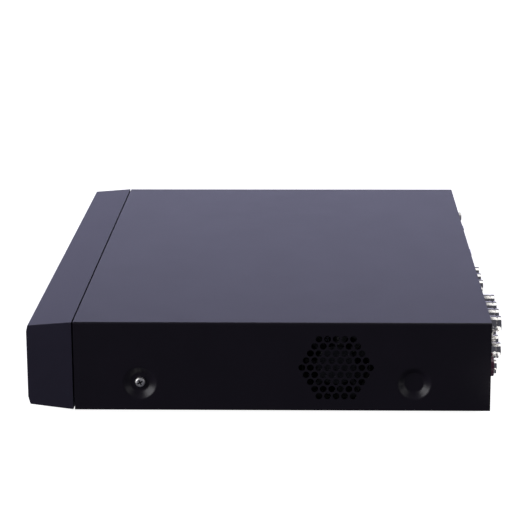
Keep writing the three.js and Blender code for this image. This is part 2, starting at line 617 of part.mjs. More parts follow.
const rearUsb = () => socket(REAR_USB_X, PORT_BASE + USB.height, USB.width, 2 * USB.height,
  PANEL_REAR + 1.5, PANEL_FRONT - 14, [-1, 1].map((row) => (
    [0, row * USB.height / 2, USB.openingWidth, USB.openingHeight])));

function dcInlet() {
  const body = block(DC_INLET.x, DC_INLET.z, DC_INLET.width, DC_INLET.height,
    PANEL_FRONT - 12, PANEL_REAR + 0.8);
  const legs = box(DC_INLET.x - 3, DC_INLET.x + 3, PANEL_FRONT - 12, PANEL_FRONT - 6,
    PORT_BASE, DC_INLET.z);
  return body.add(legs).subtract(
    rodY(DC_INLET.x, DC_INLET.z, DC_INLET.bore, PANEL_FRONT - 9, PANEL_REAR + 2, 16));
}

const TERMINAL_COUNT = 8;

function terminalBlock() {
  const mid = PORT_BASE + TERMINALS.height / 2;
  const body = block(TERMINALS.x, mid, TERMINALS.width, TERMINALS.height,
    PANEL_FRONT - 8, PANEL_REAR + 4);
  const pitch = (TERMINALS.width - 1) / TERMINAL_COUNT;
  const entries = Array.from({ length: TERMINAL_COUNT }, (_, i) => block(
    TERMINALS.x + (i - (TERMINAL_COUNT - 1) / 2) * pitch, mid - 2.6, 2.5, 3.2,
    PANEL_REAR - 2, PANEL_REAR + 5));
  return cut(body, entries);
}

function switchBody() {
  const { x, z } = SWITCH;
  const flange = block(x, z, SWITCH.width, SWITCH.height, PANEL_REAR + GAP, PANEL_REAR + 1.9);
  const body = block(x, z, SWITCH.width - 2, SWITCH.height - 2, PANEL_FRONT - 12, PANEL_REAR + 1);
  return cut(flange.add(body), [
    block(x, z, SWITCH.openingWidth, SWITCH.openingHeight, PANEL_FRONT - 10, PANEL_REAR + 3)]);
}

// The rocker at rest: pressed in at the bottom, proud at the top, about its pivot on the panel.
function rocker() {
  const [halfFace, rise, valley, deep] = [8.2, 3.5, 2, 3];
  const outline = [
    [-deep, -6.5], [rise - 0.6, -halfFace], [rise, -halfFace + 0.8], [valley, 0],
    [rise, halfFace - 0.8], [rise - 0.6, halfFace], [-deep, 6.5],
  ].map(([y, z]) => new THREE.Vector2(y, z).rotateAround(new THREE.Vector2(), -ROCKER_TILT));
  const half = SWITCH.openingWidth / 2 - GAP;
  return extrudeX(outline, -half, half);
}

// ---- assembly ----

const dvr = new THREE.Group();

function assembly(...meshes) {
  dvr.add(new THREE.Group().add(...meshes));
}

function placed(mesh, x, y, z) {
  mesh.position.set(x, y, z);
  return mesh;
}

assembly(
  painted('top_cover', topCover()),
  painted('base_tray', baseTray()),
  painted('rear_panel', rearPanel()),
  moulded('front_bezel', frontBezel()),
);

assembly(
  moulded('front_window', frontWindow(), GLOSS),
  moulded('power_button', powerButton()),
  ...Object.entries(LAMPS).map(([name, x]) => (
    placed(moulded(`lamp_lens_${name}`, lamp(), LENS), x, 0, FACE_Z))),
  moulded('front_board', frontBoard(), CIRCUIT),
  moulded('infrared_receiver', infraredReceiver(), GLOSS),
  plated('front_usb_socket', frontUsb()),
);

assembly(
  moulded('main_board', mainBoard(), CIRCUIT),
  plated('heat_sink', heatSink(), ALUMINIUM),
  plated('coin_cell', coinCell(), ZINC),
  moulded('cell_holder', cellHolder(), RUBBER),
  plated('hard_disk', hardDisk(), CASTING),
  ...diskHoles.map(([x, y], i) => placed(plated(`disk_screw_${i + 1}`, diskScrew(), ZINC), x, y, 0)),
  moulded('disk_data_lead', diskLead(-88, 8, 75), RED_LEAD),
  moulded('disk_power_lead', diskLead(-118, 12, 82), RUBBER),
);

assembly(
  moulded('fan_frame', fanFrame(), RUBBER),
  moulded('fan_rotor', fanRotor(), RUBBER),
);

assembly(
  plated('side_screw_right', coverScrewX(1), ZINC),
  plated('side_screw_left', coverScrewX(-1), ZINC),
  ...COVER_SCREW_X.map((x, i) => (
    placed(plated(`rear_screw_${i + 1}`, rearScrew(), ZINC), x, 0, COVER_SCREW_Z))),
  plated('ground_screw', groundScrew(), ZINC),
);

const footSpots = [FOOT.frontY, FOOT.rearY].flatMap((y) => SIDES.map((side) => [side * FOOT.x, y]));
assembly(...footSpots.map(([x, y], i) => placed(moulded(`foot_${i + 1}`, foot(), RUBBER), x, y, 0)));

assembly(
  moulded('bnc_housing', bncHousing(), RUBBER),
  ...bncSpots.map(([x, z], i) => placed(plated(`bnc_jack_${i + 1}`, bncJack()), x, 0, z)),
  moulded('audio_housing', stackHousing(audioSpots, 6.8), RUBBER),
  ...audioSpots.map(([x, z], i) => (
    placed(plated(`audio_jack_${i + 1}`, phonoJack(PANEL_REAR + 1.3)), x, 0, z))),
  placed(moulded('microphone_jack', microphoneJack(), PINK), MICROPHONE.x, 0, MICROPHONE.z),
);

assembly(
  plated('vga_socket', vgaSocket(), TINPLATE),
  plated('hdmi_socket', hdmiSocket(), TINPLATE),
  plated('lan_socket', lanSocket(), TINPLATE),
  plated('rear_usb_socket', rearUsb(), TINPLATE),
  moulded('dc_inlet', dcInlet(), RUBBER),
  moulded('terminal_block', terminalBlock(), GREEN),
);

assembly(
  moulded('switch_body', switchBody(), RUBBER),
  placed(moulded('power_rocker', rocker(), GLOSS), SWITCH.x, PANEL_REAR, SWITCH.z),
);

export default dvr;
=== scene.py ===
"""Looks of the desktop video recorder: finishes, fine geometry, studio and camera, built around the
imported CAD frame. Lengths are in metres in the frame, and written here in millimetres times MM."""
import json
from math import atan, cos, pi, radians, sin, sqrt

import bmesh
import bpy
from mathutils import Matrix, Vector


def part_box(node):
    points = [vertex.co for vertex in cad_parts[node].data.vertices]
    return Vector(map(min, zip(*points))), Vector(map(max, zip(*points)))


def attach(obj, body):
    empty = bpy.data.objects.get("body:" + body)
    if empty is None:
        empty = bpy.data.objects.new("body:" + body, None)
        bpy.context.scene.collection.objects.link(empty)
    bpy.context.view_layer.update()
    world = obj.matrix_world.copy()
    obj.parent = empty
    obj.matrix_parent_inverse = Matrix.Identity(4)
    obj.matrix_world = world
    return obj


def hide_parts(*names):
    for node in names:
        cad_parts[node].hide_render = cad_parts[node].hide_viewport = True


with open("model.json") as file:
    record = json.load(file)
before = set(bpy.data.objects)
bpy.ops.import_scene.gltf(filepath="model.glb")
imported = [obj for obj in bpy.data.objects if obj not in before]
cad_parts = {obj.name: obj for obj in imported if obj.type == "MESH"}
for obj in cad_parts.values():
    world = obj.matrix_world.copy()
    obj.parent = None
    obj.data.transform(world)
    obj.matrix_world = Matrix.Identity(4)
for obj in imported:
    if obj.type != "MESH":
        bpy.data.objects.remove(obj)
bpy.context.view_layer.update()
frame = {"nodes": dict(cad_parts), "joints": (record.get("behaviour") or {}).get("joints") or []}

MM = 0.001
SIDES = (1, -1)
LAMPS = ("power", "disk", "network")


# ---- finishes

def noise(tree, vector, grain, detail):
    """A noise texture whose features are about grain metres across."""
    texture = tree.nodes.new("ShaderNodeTexNoise")
    texture.inputs["Scale"].default_value = 1.0 / grain
    texture.inputs["Detail"].default_value = detail
    texture.inputs["Roughness"].default_value = 0.55
    tree.links.new(vector, texture.inputs["Vector"])
    return texture.outputs["Fac"]


def remap(tree, value, low, high):
    """A noise value, which mostly runs from 0.3 to 0.7, spread over low to high."""
    ranged = tree.nodes.new("ShaderNodeMapRange")
    for socket, number in zip(("From Min", "From Max", "To Min", "To Max"), (0.3, 0.7, low, high)):
        ranged.inputs[socket].default_value = number
    tree.links.new(value, ranged.inputs["Value"])
    return ranged.outputs["Result"]


def mix(tree, factor, first, second):
    """Colour that goes from first to second with factor."""
    node = tree.nodes.new("ShaderNodeMix")
    node.data_type = "RGBA"
    node.inputs["A"].default_value = (*first, 1)
    node.inputs["B"].default_value = (*second, 1)
    tree.links.new(factor, node.inputs["Factor"])
    return node.outputs["Result"]


def surface(name, color, roughness, metallic=0.0, grain=0.35, bump=0.08, vary=0.12, patch=22.0,
    rough_vary=0.06, stretch=(1, 1, 1), coat=0.0):
    """A finish with fine grain in relief, and slow faint drift in its colour and gloss."""
    material = bpy.data.materials.new(name)
    material.use_nodes = True
    tree = material.node_tree
    shader = tree.nodes["Principled BSDF"]
    shader.inputs["Metallic"].default_value = metallic
    shader.inputs["Coat Weight"].default_value = coat
    shader.inputs["Coat Roughness"].default_value = 0.12
    coords = tree.nodes.new("ShaderNodeTexCoord")
    mapping = tree.nodes.new("ShaderNodeMapping")
    mapping.inputs["Scale"].default_value = stretch
    tree.links.new(coords.outputs["Object"], mapping.inputs["Vector"])
    vector = mapping.outputs["Vector"]
    fine = noise(tree, vector, grain * MM, 3.0)
    slow = noise(tree, vector, patch * MM, 4.0)
    dark = [c * (1 - vary) for c in color]
    light = [min(1.0, c * (1 + vary)) for c in color]
    tree.links.new(mix(tree, remap(tree, slow, 0, 1), dark, light), shader.inputs["Base Color"])
    blend = tree.nodes.new("ShaderNodeMath")
    blend.operation = "ADD"
    tree.links.new(remap(tree, fine, -rough_vary, rough_vary), blend.inputs[0])
    tree.links.new(remap(tree, slow, roughness - rough_vary, roughness + rough_vary), blend.inputs[1])
    tree.links.new(blend.outputs[0], shader.inputs["Roughness"])
    relief = tree.nodes.new("ShaderNodeBump")
    relief.inputs["Strength"].default_value = bump
    relief.inputs["Distance"].default_value = 0.25 * grain * MM
    tree.links.new(fine, relief.inputs["Height"])
    tree.links.new(relief.outputs["Normal"], shader.inputs["Normal"])
    return material


# Every finish by the name that the pieces use.
FINISH = {
    "paint": surface("case_paint", (0.0086, 0.0056, 0.0122), 0.36, grain=0.45, bump=0.30,
        vary=0.10, rough_vary=0.008),
    # Lighter colour laid on the case's bevelled edges: a painted edge highlight, not a different paint.
    "paint_edge_highlight": surface("case_paint_edge", (0.016, 0.016, 0.021), 0.34, grain=0.3, bump=0.12),
    "plastic": surface("bezel_plastic", (0.0300, 0.0258, 0.0470), 0.40, grain=0.30, bump=0.16,
        vary=0.08, rough_vary=0.006),
    "gloss": surface("window_gloss", (0.004, 0.004, 0.005), 0.07, grain=2.0, bump=0.02,
        rough_vary=0.02, coat=0.4),
    "lens": surface("lamp_clear", (0.62, 0.66, 0.68), 0.30, grain=0.2, bump=0.05, vary=0.04),
    "board": surface("circuit_board", (0.012, 0.065, 0.026), 0.38, grain=0.5, bump=0.2, patch=6.0),
    "nickel": surface("jack_nickel", (0.80, 0.78, 0.76), 0.11, 1.0, grain=0.25, bump=0.04,
        vary=0.06, patch=5.0, rough_vary=0.03, stretch=(1, 0.2, 1)),
    "zinc": surface("screw_zinc", (0.92, 0.90, 0.86), 0.44, 1.0, grain=0.2, bump=0.08, patch=2.5),
    # Near-black, not metal: painted shade laid in the screws' crosses, where shadow falls.
    "recess_shade": surface("screw_recess", (0.02, 0.02, 0.02), 0.6, 0.0, grain=0.2),
    "steel": surface("socket_steel", (0.56, 0.56, 0.57), 0.27, 1.0, grain=0.3, bump=0.06,
        vary=0.10, patch=4.0),
    "gold": surface("contact_gold", (0.83, 0.58, 0.22), 0.22, 1.0, grain=0.2, bump=0.04),
    "cream": surface("insulator", (0.63, 0.61, 0.54), 0.42, grain=0.2, bump=0.06, vary=0.04),
    "black": surface("black_plastic", (0.011, 0.011, 0.012), 0.44, grain=0.25, bump=0.16),
    "fan": surface("fan_plastic", (0.016, 0.016, 0.018), 0.36, grain=0.25, bump=0.10),
    "rubber": surface("foot_rubber", (0.014, 0.014, 0.015), 0.72, grain=0.35, bump=0.35),
    "red": surface("jack_red_plastic", (0.24, 0.075, 0.130), 0.14, grain=0.25, bump=0.04, coat=0.4),
    "white": surface("jack_white_plastic", (0.62, 0.62, 0.60), 0.38, grain=0.25, bump=0.08),
    "green": surface("terminal_green", (0.020, 0.17, 0.055), 0.40, grain=0.25, bump=0.12),
    "blue": surface("socket_blue", (0.012, 0.045, 0.26), 0.40, grain=0.25, bump=0.10),
    "switch": surface("switch_gloss", (0.008, 0.008, 0.009), 0.16, grain=0.8, bump=0.03, coat=0.3),
    "mark": surface("switch_mark", (0.68, 0.68, 0.66), 0.45, grain=0.2, bump=0.05),
    "label": surface("fan_label", (0.018, 0.018, 0.024), 0.45, grain=0.3, bump=0.05),
    "heat_sink": surface("heat_sink_aluminium", (0.50, 0.51, 0.53), 0.34, 1.0, stretch=(1, 0.05, 1)),
    "disk": surface("disk_metal", (0.42, 0.43, 0.45), 0.36, 1.0, grain=0.5, bump=0.2),
    "lead": surface("lead_red", (0.38, 0.02, 0.02), 0.42, grain=0.3),
}


# ---- mesh helpers

def link(name, data):
    """A new object in the scene with the given data."""
    item = bpy.data.objects.new(name, data)
    bpy.context.scene.collection.objects.link(item)
    return item


def linked(name, bm):
    """A new object in the scene made from bm, which it uses up."""
    mesh = bpy.data.meshes.new(name)
    bm.to_mesh(mesh)
    bm.free()
    return link(name, mesh)


def add_object(name, bm, finish, body="case", edge=None):
    """A piece made from bm, which rides on body. A second finish, if any, is for chosen faces: a painted
    edge highlight on bevels, or painted shade in a screw's cross.
    """
    bmesh.ops.recalc_face_normals(bm, faces=bm.faces)
    piece = linked(name, bm)
    for key in (finish, edge):
        if key:
            piece.data.materials.append(FINISH[key])
    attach(piece, body)
    return piece


def box(low, high):
    """A box between two corners."""
    bm = bmesh.new()
    size = [b - a for a, b in zip(low, high)]
    middle = [(a + b) / 2 for a, b in zip(low, high)]
    bmesh.ops.create_cube(bm, size=1)
    bmesh.ops.scale(bm, vec=size, verts=bm.verts)
    bmesh.ops.translate(bm, vec=middle, verts=bm.verts)
    return bm


def block(origin, low, high):
    """A box whose two corners are given in millimetres from origin."""
    return box(*([o + d * MM for o, d in zip(origin, corner)] for corner in (low, high)))


# Each matrix lays a body that was made along Z along the axis it is named after.
AXES = {
    "X": Matrix(((0, 0, 1), (1, 0, 0), (0, 1, 0))),
    "Y": Matrix(((0, 1, 0), (0, 0, 1), (1, 0, 0))),
    "Z": Matrix.Identity(3),
}


def turned(axis, centre, profile, sides):
    """A closed body of revolution about axis through centre: profile points are (radius, along)."""
    bm = bmesh.new()
    rings = []
    for radius, along in profile:
        if radius < 1e-9:
            rings.append([bm.verts.new((0, 0, along))])
            continue
        turns = [2 * pi * i / sides for i in range(sides)]
        rings.append([bm.verts.new((radius * cos(t), radius * sin(t), along)) for t in turns])
    for lower, upper in zip(rings, rings[1:]):
        for i in range(sides):
            j = (i + 1) % sides
            corners = [lower[i % len(lower)], lower[j % len(lower)],
                upper[j % len(upper)], upper[i % len(upper)]]
            unique = list(dict.fromkeys(corners))
            if len(unique) > 2:
                bm.faces.new(unique)
    bmesh.ops.transform(bm, matrix=AXES[axis].to_4x4(), verts=bm.verts)
    bmesh.ops.translate(bm, vec=centre, verts=bm.verts)
    bmesh.ops.recalc_face_normals(bm, faces=bm.faces)
    return bm


def points_from(start, *points):
    """Profile points that are given in millimetres, as (radius, distance from start)."""
    return [(radius * MM, start + distance * MM) for radius, distance in points]


def rod(axis, centre, radius, start, end, sides):
    """A plain cylinder along axis: a pin, or the cutter for a hole."""
    return turned(axis, centre, [(0, start), (radius, start), (radius, end), (0, end)], sides)


def tube(centre, profile, sides):
    """A body turned about Y with a closed loop as its profile, so that it has a bore."""
    bm = turned("Y", centre, profile, sides)
    bmesh.ops.remove_doubles(bm, verts=bm.verts, dist=1e-6)
    return bm


def prism(axis, outline, low, high):
    """A closed prism along axis. Its outline is in the next two axes in the cycle X, Y, Z, X."""
    bm = bmesh.new()
    ends = [[bm.verts.new((u, v, w)) for u, v in outline] for w in (low, high)]
    bm.faces.new(ends[0])
    bm.faces.new(ends[1])
    count = len(outline)
    for i in range(count):
        j = (i + 1) % count
        bm.faces.new((ends[0][i], ends[0][j], ends[1][j], ends[1][i]))
    bmesh.ops.transform(bm, matrix=AXES[axis].to_4x4(), verts=bm.verts)
    bmesh.ops.recalc_face_normals(bm, faces=bm.faces)
    return bm


def y_prism(outline, low, high):
    """A closed prism along Y with an outline of (X, Z) points."""
    return prism("Y", [(z, x) for x, z in outline], low, high)


def merged(meshes):
    """One bmesh that holds several closed bodies side by side."""
    whole = bmesh.new()
    for part in meshes:
        data = bpy.data.meshes.new("part")
        part.to_mesh(data)
        part.free()
        whole.from_mesh(data)
        bpy.data.meshes.remove(data)
    return whole


def on_side(side, bm):
    """bm as made for the +X side, or mirrored onto the -X side."""
    if side < 0:
        bmesh.ops.scale(bm, vec=(-1, 1, 1), verts=bm.verts)
        bmesh.ops.reverse_faces(bm, faces=bm.faces)
    return bm


def apply_modifiers(piece):
    """Puts the piece's modifiers into its mesh."""
    graph = bpy.context.evaluated_depsgraph_get()
    result = bpy.data.meshes.new_from_object(piece.evaluated_get(graph), depsgraph=graph)
    old = piece.data
    piece.modifiers.clear()
    piece.data = result
    bpy.data.meshes.remove(old)


def boolean(piece, tool, operation="DIFFERENCE"):
    """Cuts or joins piece with the bodies in the bmesh tool. Cutters mustn't overlap each other."""
    bmesh.ops.recalc_face_normals(tool, faces=tool.faces)
    cutter = linked("tool", tool)
    data = cutter.data
    modifier = piece.modifiers.new("cut", "BOOLEAN")
    modifier.operation = operation
    modifier.solver = "EXACT"
    modifier.use_self = operation == "UNION"
    modifier.object = cutter
    apply_modifiers(piece)
    bpy.data.objects.remove(cutter)
    bpy.data.meshes.remove(data)


def smooth(piece, degrees=50):
    """Smooth shading that keeps large flat faces flat and corners beyond that angle sharp."""
    piece.data.shade_smooth()
    piece.data.set_sharp_from_angle(angle=radians(degrees))
    modifier = piece.modifiers.new("normals", "WEIGHTED_NORMAL")
    modifier.keep_sharp = True
    modifier.weight = 50
    apply_modifiers(piece)


def soften(piece, width, segments=2, degrees=28, edge=False):
    """Rounds the piece's edges and shades it smoothly; edge gives the bevels the second finish, which on
    the case sheets is a lighter colour: a painted edge highlight.
    """
    modifier = piece.modifiers.new("bevel", "BEVEL")
    modifier.width = width * MM
    modifier.segments = segments
    modifier.limit_method = "ANGLE"
    modifier.angle_limit = radians(degrees)
    modifier.use_clamp_overlap = True
    modifier.material = 1 if edge else -1
    apply_modifiers(piece)
    smooth(piece)


def rounded_rectangle(u0, u1, v0, v1, radius, steps=6):
    """Outline with round corners, anticlockwise."""
    points = []
    for i, (cu, cv) in enumerate(((u1 - radius, v0 + radius), (u1 - radius, v1 - radius),
        (u0 + radius, v1 - radius), (u0 + radius, v0 + radius))):
        for k in range(steps + 1):
            turn = radians(-90 + 90 * i + 90 * k / steps)
            points.append((cu + radius * cos(turn), cv + radius * sin(turn)))
    return points


def centre_of(node):
    """The middle of a CAD node's box."""
    low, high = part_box(node)
    return (low + high) / 2


# ---- shared measures

COVER_LOW, COVER_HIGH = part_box("top_cover")
BEZEL_LOW, BEZEL_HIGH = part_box("front_bezel")
PANEL_LOW, PANEL_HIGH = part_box("rear_panel")
TRAY_LOW, TRAY_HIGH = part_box("base_tray")
PANEL_FACE = PANEL_HIGH.y
SHEET = MM
DIMPLE_Z = centre_of("side_screw_right").z
SCREW_DIMPLE_Y = centre_of("side_screw_right").y
BLANK_DIMPLE_Y = SCREW_DIMPLE_Y + 160.6 * MM
FAN_CENTRE = centre_of("fan_frame")
FAN_BORE = 19 * MM
HUB = 11.7 * MM
HOOK_SPOTS = [(x * MM, z * MM) for z in (8.5, 49) for x in (-150, -50, 50, 150)]
COLLAR_RADIUS = 5.8 * MM
VGA_HALF_HEIGHT = 6.25 * MM
INLET_HALF_HEIGHT = 5.7 * MM


# ---- cover

def dimple_profile(surface_x, overshoot=0.0):
    """Stamped dish: flat floor, straight flank and rounded lips, as (radius, distance) points.
    It runs on past the surface by 0.4 mm, or by overshoot where that is given."""
    depth, floor, rim, lip = 3.0 * MM, 5.0 * MM, 10.4 * MM, 1.3 * MM
    flank = depth / (rim - floor - lip)
    steps = 9
    shares = [i / steps for i in range(steps + 1)]
    points = [(0.0, surface_x - depth)]
    points += [(floor + lip * t, surface_x - depth + flank * lip * t * t / 2) for t in shares]
    points += [(rim - lip * t, surface_x - flank * lip * t * t / 2) for t in (1 - s for s in shares)]
    if overshoot:
        points.pop()
    proud = surface_x + (overshoot or 0.4 * MM)
    return points + [(rim, proud), (0.0, proud)]


def vent_centres():
    """Centres (y, z) of the hexagonal field of vent holes."""
    pitch, middle = 5.0 * MM, 4
    for row in range(-middle, middle + 1):
        count = 2 * middle + 1 - abs(row)
        for i in range(count):
            yield (FAN_CENTRE.y + (i - (count - 1) / 2) * pitch,
                FAN_CENTRE.z + row * pitch * sqrt(3) / 2)


def cover_outline():
    """The folded sheet's section in (X, Z)."""
    half, top, low = COVER_HIGH.x, COVER_HIGH.z, COVER_LOW.z
    bend = 1.15 * MM

    def fold(side, radius):
        turns = range(0, 91, 15)
        return [(side * (half - bend + radius * cos(radians(t))),
            top - bend + radius * sin(radians(t))) for t in turns]

    outer = [(half, low)] + fold(1, bend) + fold(-1, bend)[::-1] + [(-half, low)]
    inner = [(-half + SHEET, low)] + fold(-1, bend - SHEET) + fold(1, bend - SHEET)[::-1]
    return outer + inner + [(half - SHEET, low)]


def dishes(profile):
    """The four dimples, two on each side, as one bmesh."""
    return merged([on_side(side, turned("X", (0, y, DIMPLE_Z), profile, 48))
        for side in SIDES for y in (SCREW_DIMPLE_Y, BLANK_DIMPLE_Y)])


def build_cover():
    """Folded sheet with stamped dimples, rear screw tabs and a vent field in both sides."""
    # The cover's bevels take the painted edge highlight.
    cover = add_object("cover", y_prism(cover_outline(), COVER_LOW.y, COVER_HIGH.y), "paint",
        edge="paint_edge_highlight")
    half = COVER_HIGH.x
    boolean(cover, dishes(dimple_profile(half - SHEET)), "UNION")
    tabs = []
    for i in range(1, 4):
        x = centre_of(f"rear_screw_{i}").x
        tabs.append(box((x - 8 * MM, PANEL_FACE - 2.3 * MM, 43 * MM),
            (x + 8 * MM, PANEL_FACE - 1.3 * MM, COVER_HIGH.z - 0.5 * MM)))
    boolean(cover, merged(tabs), "UNION")
    boolean(cover, dishes(dimple_profile(half, 0.02 * MM)))
    vent_radius, reach = 2.0 * MM, half + MM
    boolean(cover, merged([rod("X", (0, y, z), vent_radius, -reach, reach, 28)
        for y, z in vent_centres()]))
    soften(cover, 0.14, edge=True)
    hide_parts("top_cover")


# ---- bezel and front controls

def bezel_outline(inset, rear):
    """End view of the bezel in (Y, Z): falling top, short slope, upright face, chamfered foot."""
    front, top, low = BEZEL_LOW.y, BEZEL_HIGH.z, BEZEL_LOW.z
    lean = inset * 0.6
    return [
        (rear, top - inset),
        (front + 0.8 * MM + lean, top - 2 * MM - inset),
        (front + inset, top - 5.65 * MM - lean),
        (front + inset, low + 7.8 * MM + lean),
        (front + 1.2 * MM + lean, low + 3.2 * MM + inset),
        (rear, low + inset),
    ]


def build_bezel():
    """Hollow moulding with its openings, and the hooks that hold it to the tray."""
    half, rear = BEZEL_HIGH.x, COVER_LOW.y - 0.85 * MM
    wall, gap = 2.2 * MM, 0.3 * MM
    # A tail behind the rear face takes the rounding there, and is cut off to leave sharp rear edges.
    outline, tail = bezel_outline(0, rear), rear + 3 * MM
    outline = [(tail, outline[0][1])] + outline + [(tail, outline[-1][1])]
    bezel = add_object("bezel", prism("X", outline, -half, half), "plastic")
    soften(bezel, 0.45, 3)
    boolean(bezel, box((-half - MM, rear, 0), (half + MM, tail + MM, 60 * MM)))
    boolean(bezel, prism("X", bezel_outline(wall, rear + MM), -half + wall, half - wall))
    low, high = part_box("front_window")
    window = rounded_rectangle(low.x - gap, high.x + gap, low.z - gap, high.z + gap, 4.3 * MM)
    y0, y1 = BEZEL_LOW.y - MM, BEZEL_LOW.y + 4 * MM
    low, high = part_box("front_usb_socket")
    tools = [y_prism(window, y0, y1),
        box((low.x - gap, y0, low.z - gap), (high.x + gap, y1, high.z + gap))]
    for node, radius in [("power_button", 6.55)] + [(f"lamp_lens_{name}", 1.75) for name in LAMPS]:
        middle = centre_of(node)
        tools.append(rod("Y", (middle.x, 0, middle.z), radius * MM, y0, y1, 48))
    boolean(bezel, merged(tools))
    hooks = []
    for x, z in HOOK_SPOTS:
        reach = 5 if z > COVER_HIGH.z / 2 else -4
        hooks.append(box((x - 4 * MM, COVER_LOW.y - 4.4 * MM, z - 0.75 * MM),
            (x + 4 * MM, BEZEL_HIGH.y, z + 0.75 * MM)))
        hooks.append(block((x, COVER_LOW.y, z), (-4, -4.4, min(0, reach)), (4, -2.4, max(0, reach))))
    boolean(bezel, merged(hooks), "UNION")
    soften(bezel, 0.22, degrees=60)
    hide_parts("front_bezel")


def build_front_controls():
    """Window strip, power button with its hidden flange, and the three lamp lenses."""
    low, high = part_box("front_window")
    outline = rounded_rectangle(low.x, high.x, low.z, high.z, 4 * MM)
    window = add_object("window", y_prism(outline, low.y, high.y), "gloss")
    soften(window, 0.3, 3)
    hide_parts("front_window")

    low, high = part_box("power_button")
    middle = centre_of("power_button")
    crown = points_from(low.y, (0, 0.45), (2.2, 0.40), (4.2, 0.22), (5.4, 0.02), (5.8, 0),
        (6.05, 0.12), (6.2, 0.45), (6.2, 2.4), (7.4, 2.4), (7.4, 3.6), (2.5, 3.6))
    crown += points_from(high.y, (2.5, 0), (0, 0))
    button = add_object("button", turned("Y", (middle.x, 0, middle.z), crown, 64), "plastic", "button")
    smooth(button, 40)
    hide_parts("power_button")

    for name in LAMPS:
        low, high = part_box(f"lamp_lens_{name}")
        middle = centre_of(f"lamp_lens_{name}")
        dome = points_from(low.y, (0, 0), (0.7, 0.06), (1.2, 0.22), (1.5, 0.55))
        dome += points_from(high.y, (1.5, 0), (0, 0))
        lens = add_object(f"lens_{name}", turned("Y", (middle.x, 0, middle.z), dome, 32), "lens")
        smooth(lens)
        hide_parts(f"lamp_lens_{name}")


# ---- sockets

def usb_port(name, node, centre_z, facing, depth):
    """Tongue and four contacts in one opening; facing is the sign of Y that the mouth looks to."""
    low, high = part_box(node)
    x = (low.x + high.x) / 2
    mouth = high.y if facing > 0 else low.y
    tip, root = mouth - facing * 1.2 * MM, mouth - facing * depth
    z = centre_z + 1.2 * MM
    near, far = sorted((tip, root))
    tongue = add_object(f"{name}_tongue", box((x - 5.5 * MM, near, z - 0.9 * MM),
        (x + 5.5 * MM, far, z + 0.9 * MM)), "cream")
    soften(tongue, 0.2)
    near, far = sorted((tip - facing * 0.6 * MM, root))
    pads = [box((x + (dx - 0.5) * MM, near, z - 1.0 * MM),
        (x + (dx + 0.5) * MM, far, z - 0.8 * MM)) for dx in (-3.5, -1, 1, 3.5)]
    contacts = add_object(f"{name}_contacts", merged(pads), "gold")
    soften(contacts, 0.04, 1)


def socket_shell(name, node, openings, lip):
    """The sheet-metal shell of a socket with rolled mouths: openings are (x, z, width, height)."""
    low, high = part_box(node)
    shell = add_object(name, box(low, high), "steel")
    facing = 1 if high.y > 0 else -1
    mouth, back = (high.y, low.y) if facing > 0 else (low.y, high.y)
    y0, y1 = sorted((mouth + facing * MM, back + facing * MM))
    for x, z, width, height in openings:
        outline = rounded_rectangle(x - width / 2, x + width / 2, z - height / 2, z + height / 2,
            0.5 * MM, 3)
        boolean(shell, y_prism(outline, y0, y1))
    soften(shell, lip)
    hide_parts(node)


def build_usb():
    """The front USB socket, and the double one at the rear."""
    width, height = 12.6 * MM, 5.2 * MM
    middle = centre_of("front_usb_socket")
    socket_shell("front_usb", "front_usb_socket", [(middle.x, middle.z, width, height)], 0.25)
    usb_port("front_usb", "front_usb_socket", middle.z, -1, 16 * MM)
    middle = centre_of("rear_usb_socket")
    row = 3.6 * MM
    socket_shell("rear_usb", "rear_usb_socket",
        [(middle.x, middle.z + s * row, width, height) for s in SIDES], 0.25)
    for side, label in zip(SIDES, ("upper", "lower")):
        usb_port(f"rear_usb_{label}", "rear_usb_socket", middle.z + side * row, 1, 15 * MM)


def build_lan():
    """Network socket: shell with its latch notch, eight contacts and two lamps."""
    middle, face = centre_of("lan_socket"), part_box("lan_socket")[1].y
    x, z = middle.x, middle.z
    socket_shell("lan_shell", "lan_socket", [(x, z - 0.4 * MM, 11.9 * MM, 8.2 * MM),
        (x, z + 4.4 * MM, 6 * MM, 2.4 * MM)], 0.22)
    wires = [block((x + (i - 3.5) * 1.02 * MM, face, z), (-0.22, -10, -4.4), (0.22, -3, -3.9))
        for i in range(8)]
    pins = add_object("lan_contacts", merged(wires), "gold")
    soften(pins, 0.06, 1)
    for side, finish in zip(SIDES, ("green", "lens")):
        bm = block((x + side * 5.6 * MM, face, z), (-1.3, -0.3, 4.3), (1.3, 0.25, 6.0))
        lamp = add_object(f"lan_lamp_{finish}", bm, finish)
        soften(lamp, 0.15)


def build_hdmi():
    """Digital video socket: shell with its chamfered mouth, and the tongue."""
    low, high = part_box("hdmi_socket")
    x, z = (low.x + high.x) / 2, (low.z + high.z) / 2
    shell = add_object("hdmi_shell", box(low, high), "steel")
    w, h, cut_corner = 7.05 * MM, 2.35 * MM, 1.9 * MM
    outline = [(x - w, z + h), (x - w, z - h + cut_corner * 0.5), (x - w + cut_corner, z - h),
        (x + w - cut_corner, z - h), (x + w, z - h + cut_corner * 0.5), (x + w, z + h)]
    boolean(shell, y_prism(outline, low.y + MM, high.y + MM))
    soften(shell, 0.2)
    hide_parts("hdmi_socket")
    tongue = add_object("hdmi_tongue", box((x - 6.1 * MM, low.y + MM, z + 0.1 * MM),
        (x + 6.1 * MM, high.y - 0.9 * MM, z + 1.1 * MM)), "black")
    soften(tongue, 0.12)


def vga_outline(x, z, wide, narrow, half, radius):
    """The D-shaped outline in (X, Z), wide side up, with rounded corners; its sizes are in mm."""
    corners = [(wide, half), (-wide, half), (-narrow, -half), (narrow, -half)]
    steps = 5
    points = []
    for i, corner in enumerate(corners):
        here = Vector(corner)
        start = here + (Vector(corners[i - 1]) - here).normalized() * radius
        end = here + (Vector(corners[(i + 1) % 4]) - here).normalized() * radius
        for t in (k / steps for k in range(steps + 1)):
            point = start * (1 - t) ** 2 + here * 2 * t * (1 - t) + end * t ** 2
            points.append((x + point.x * MM, z + point.y * MM))
    return points


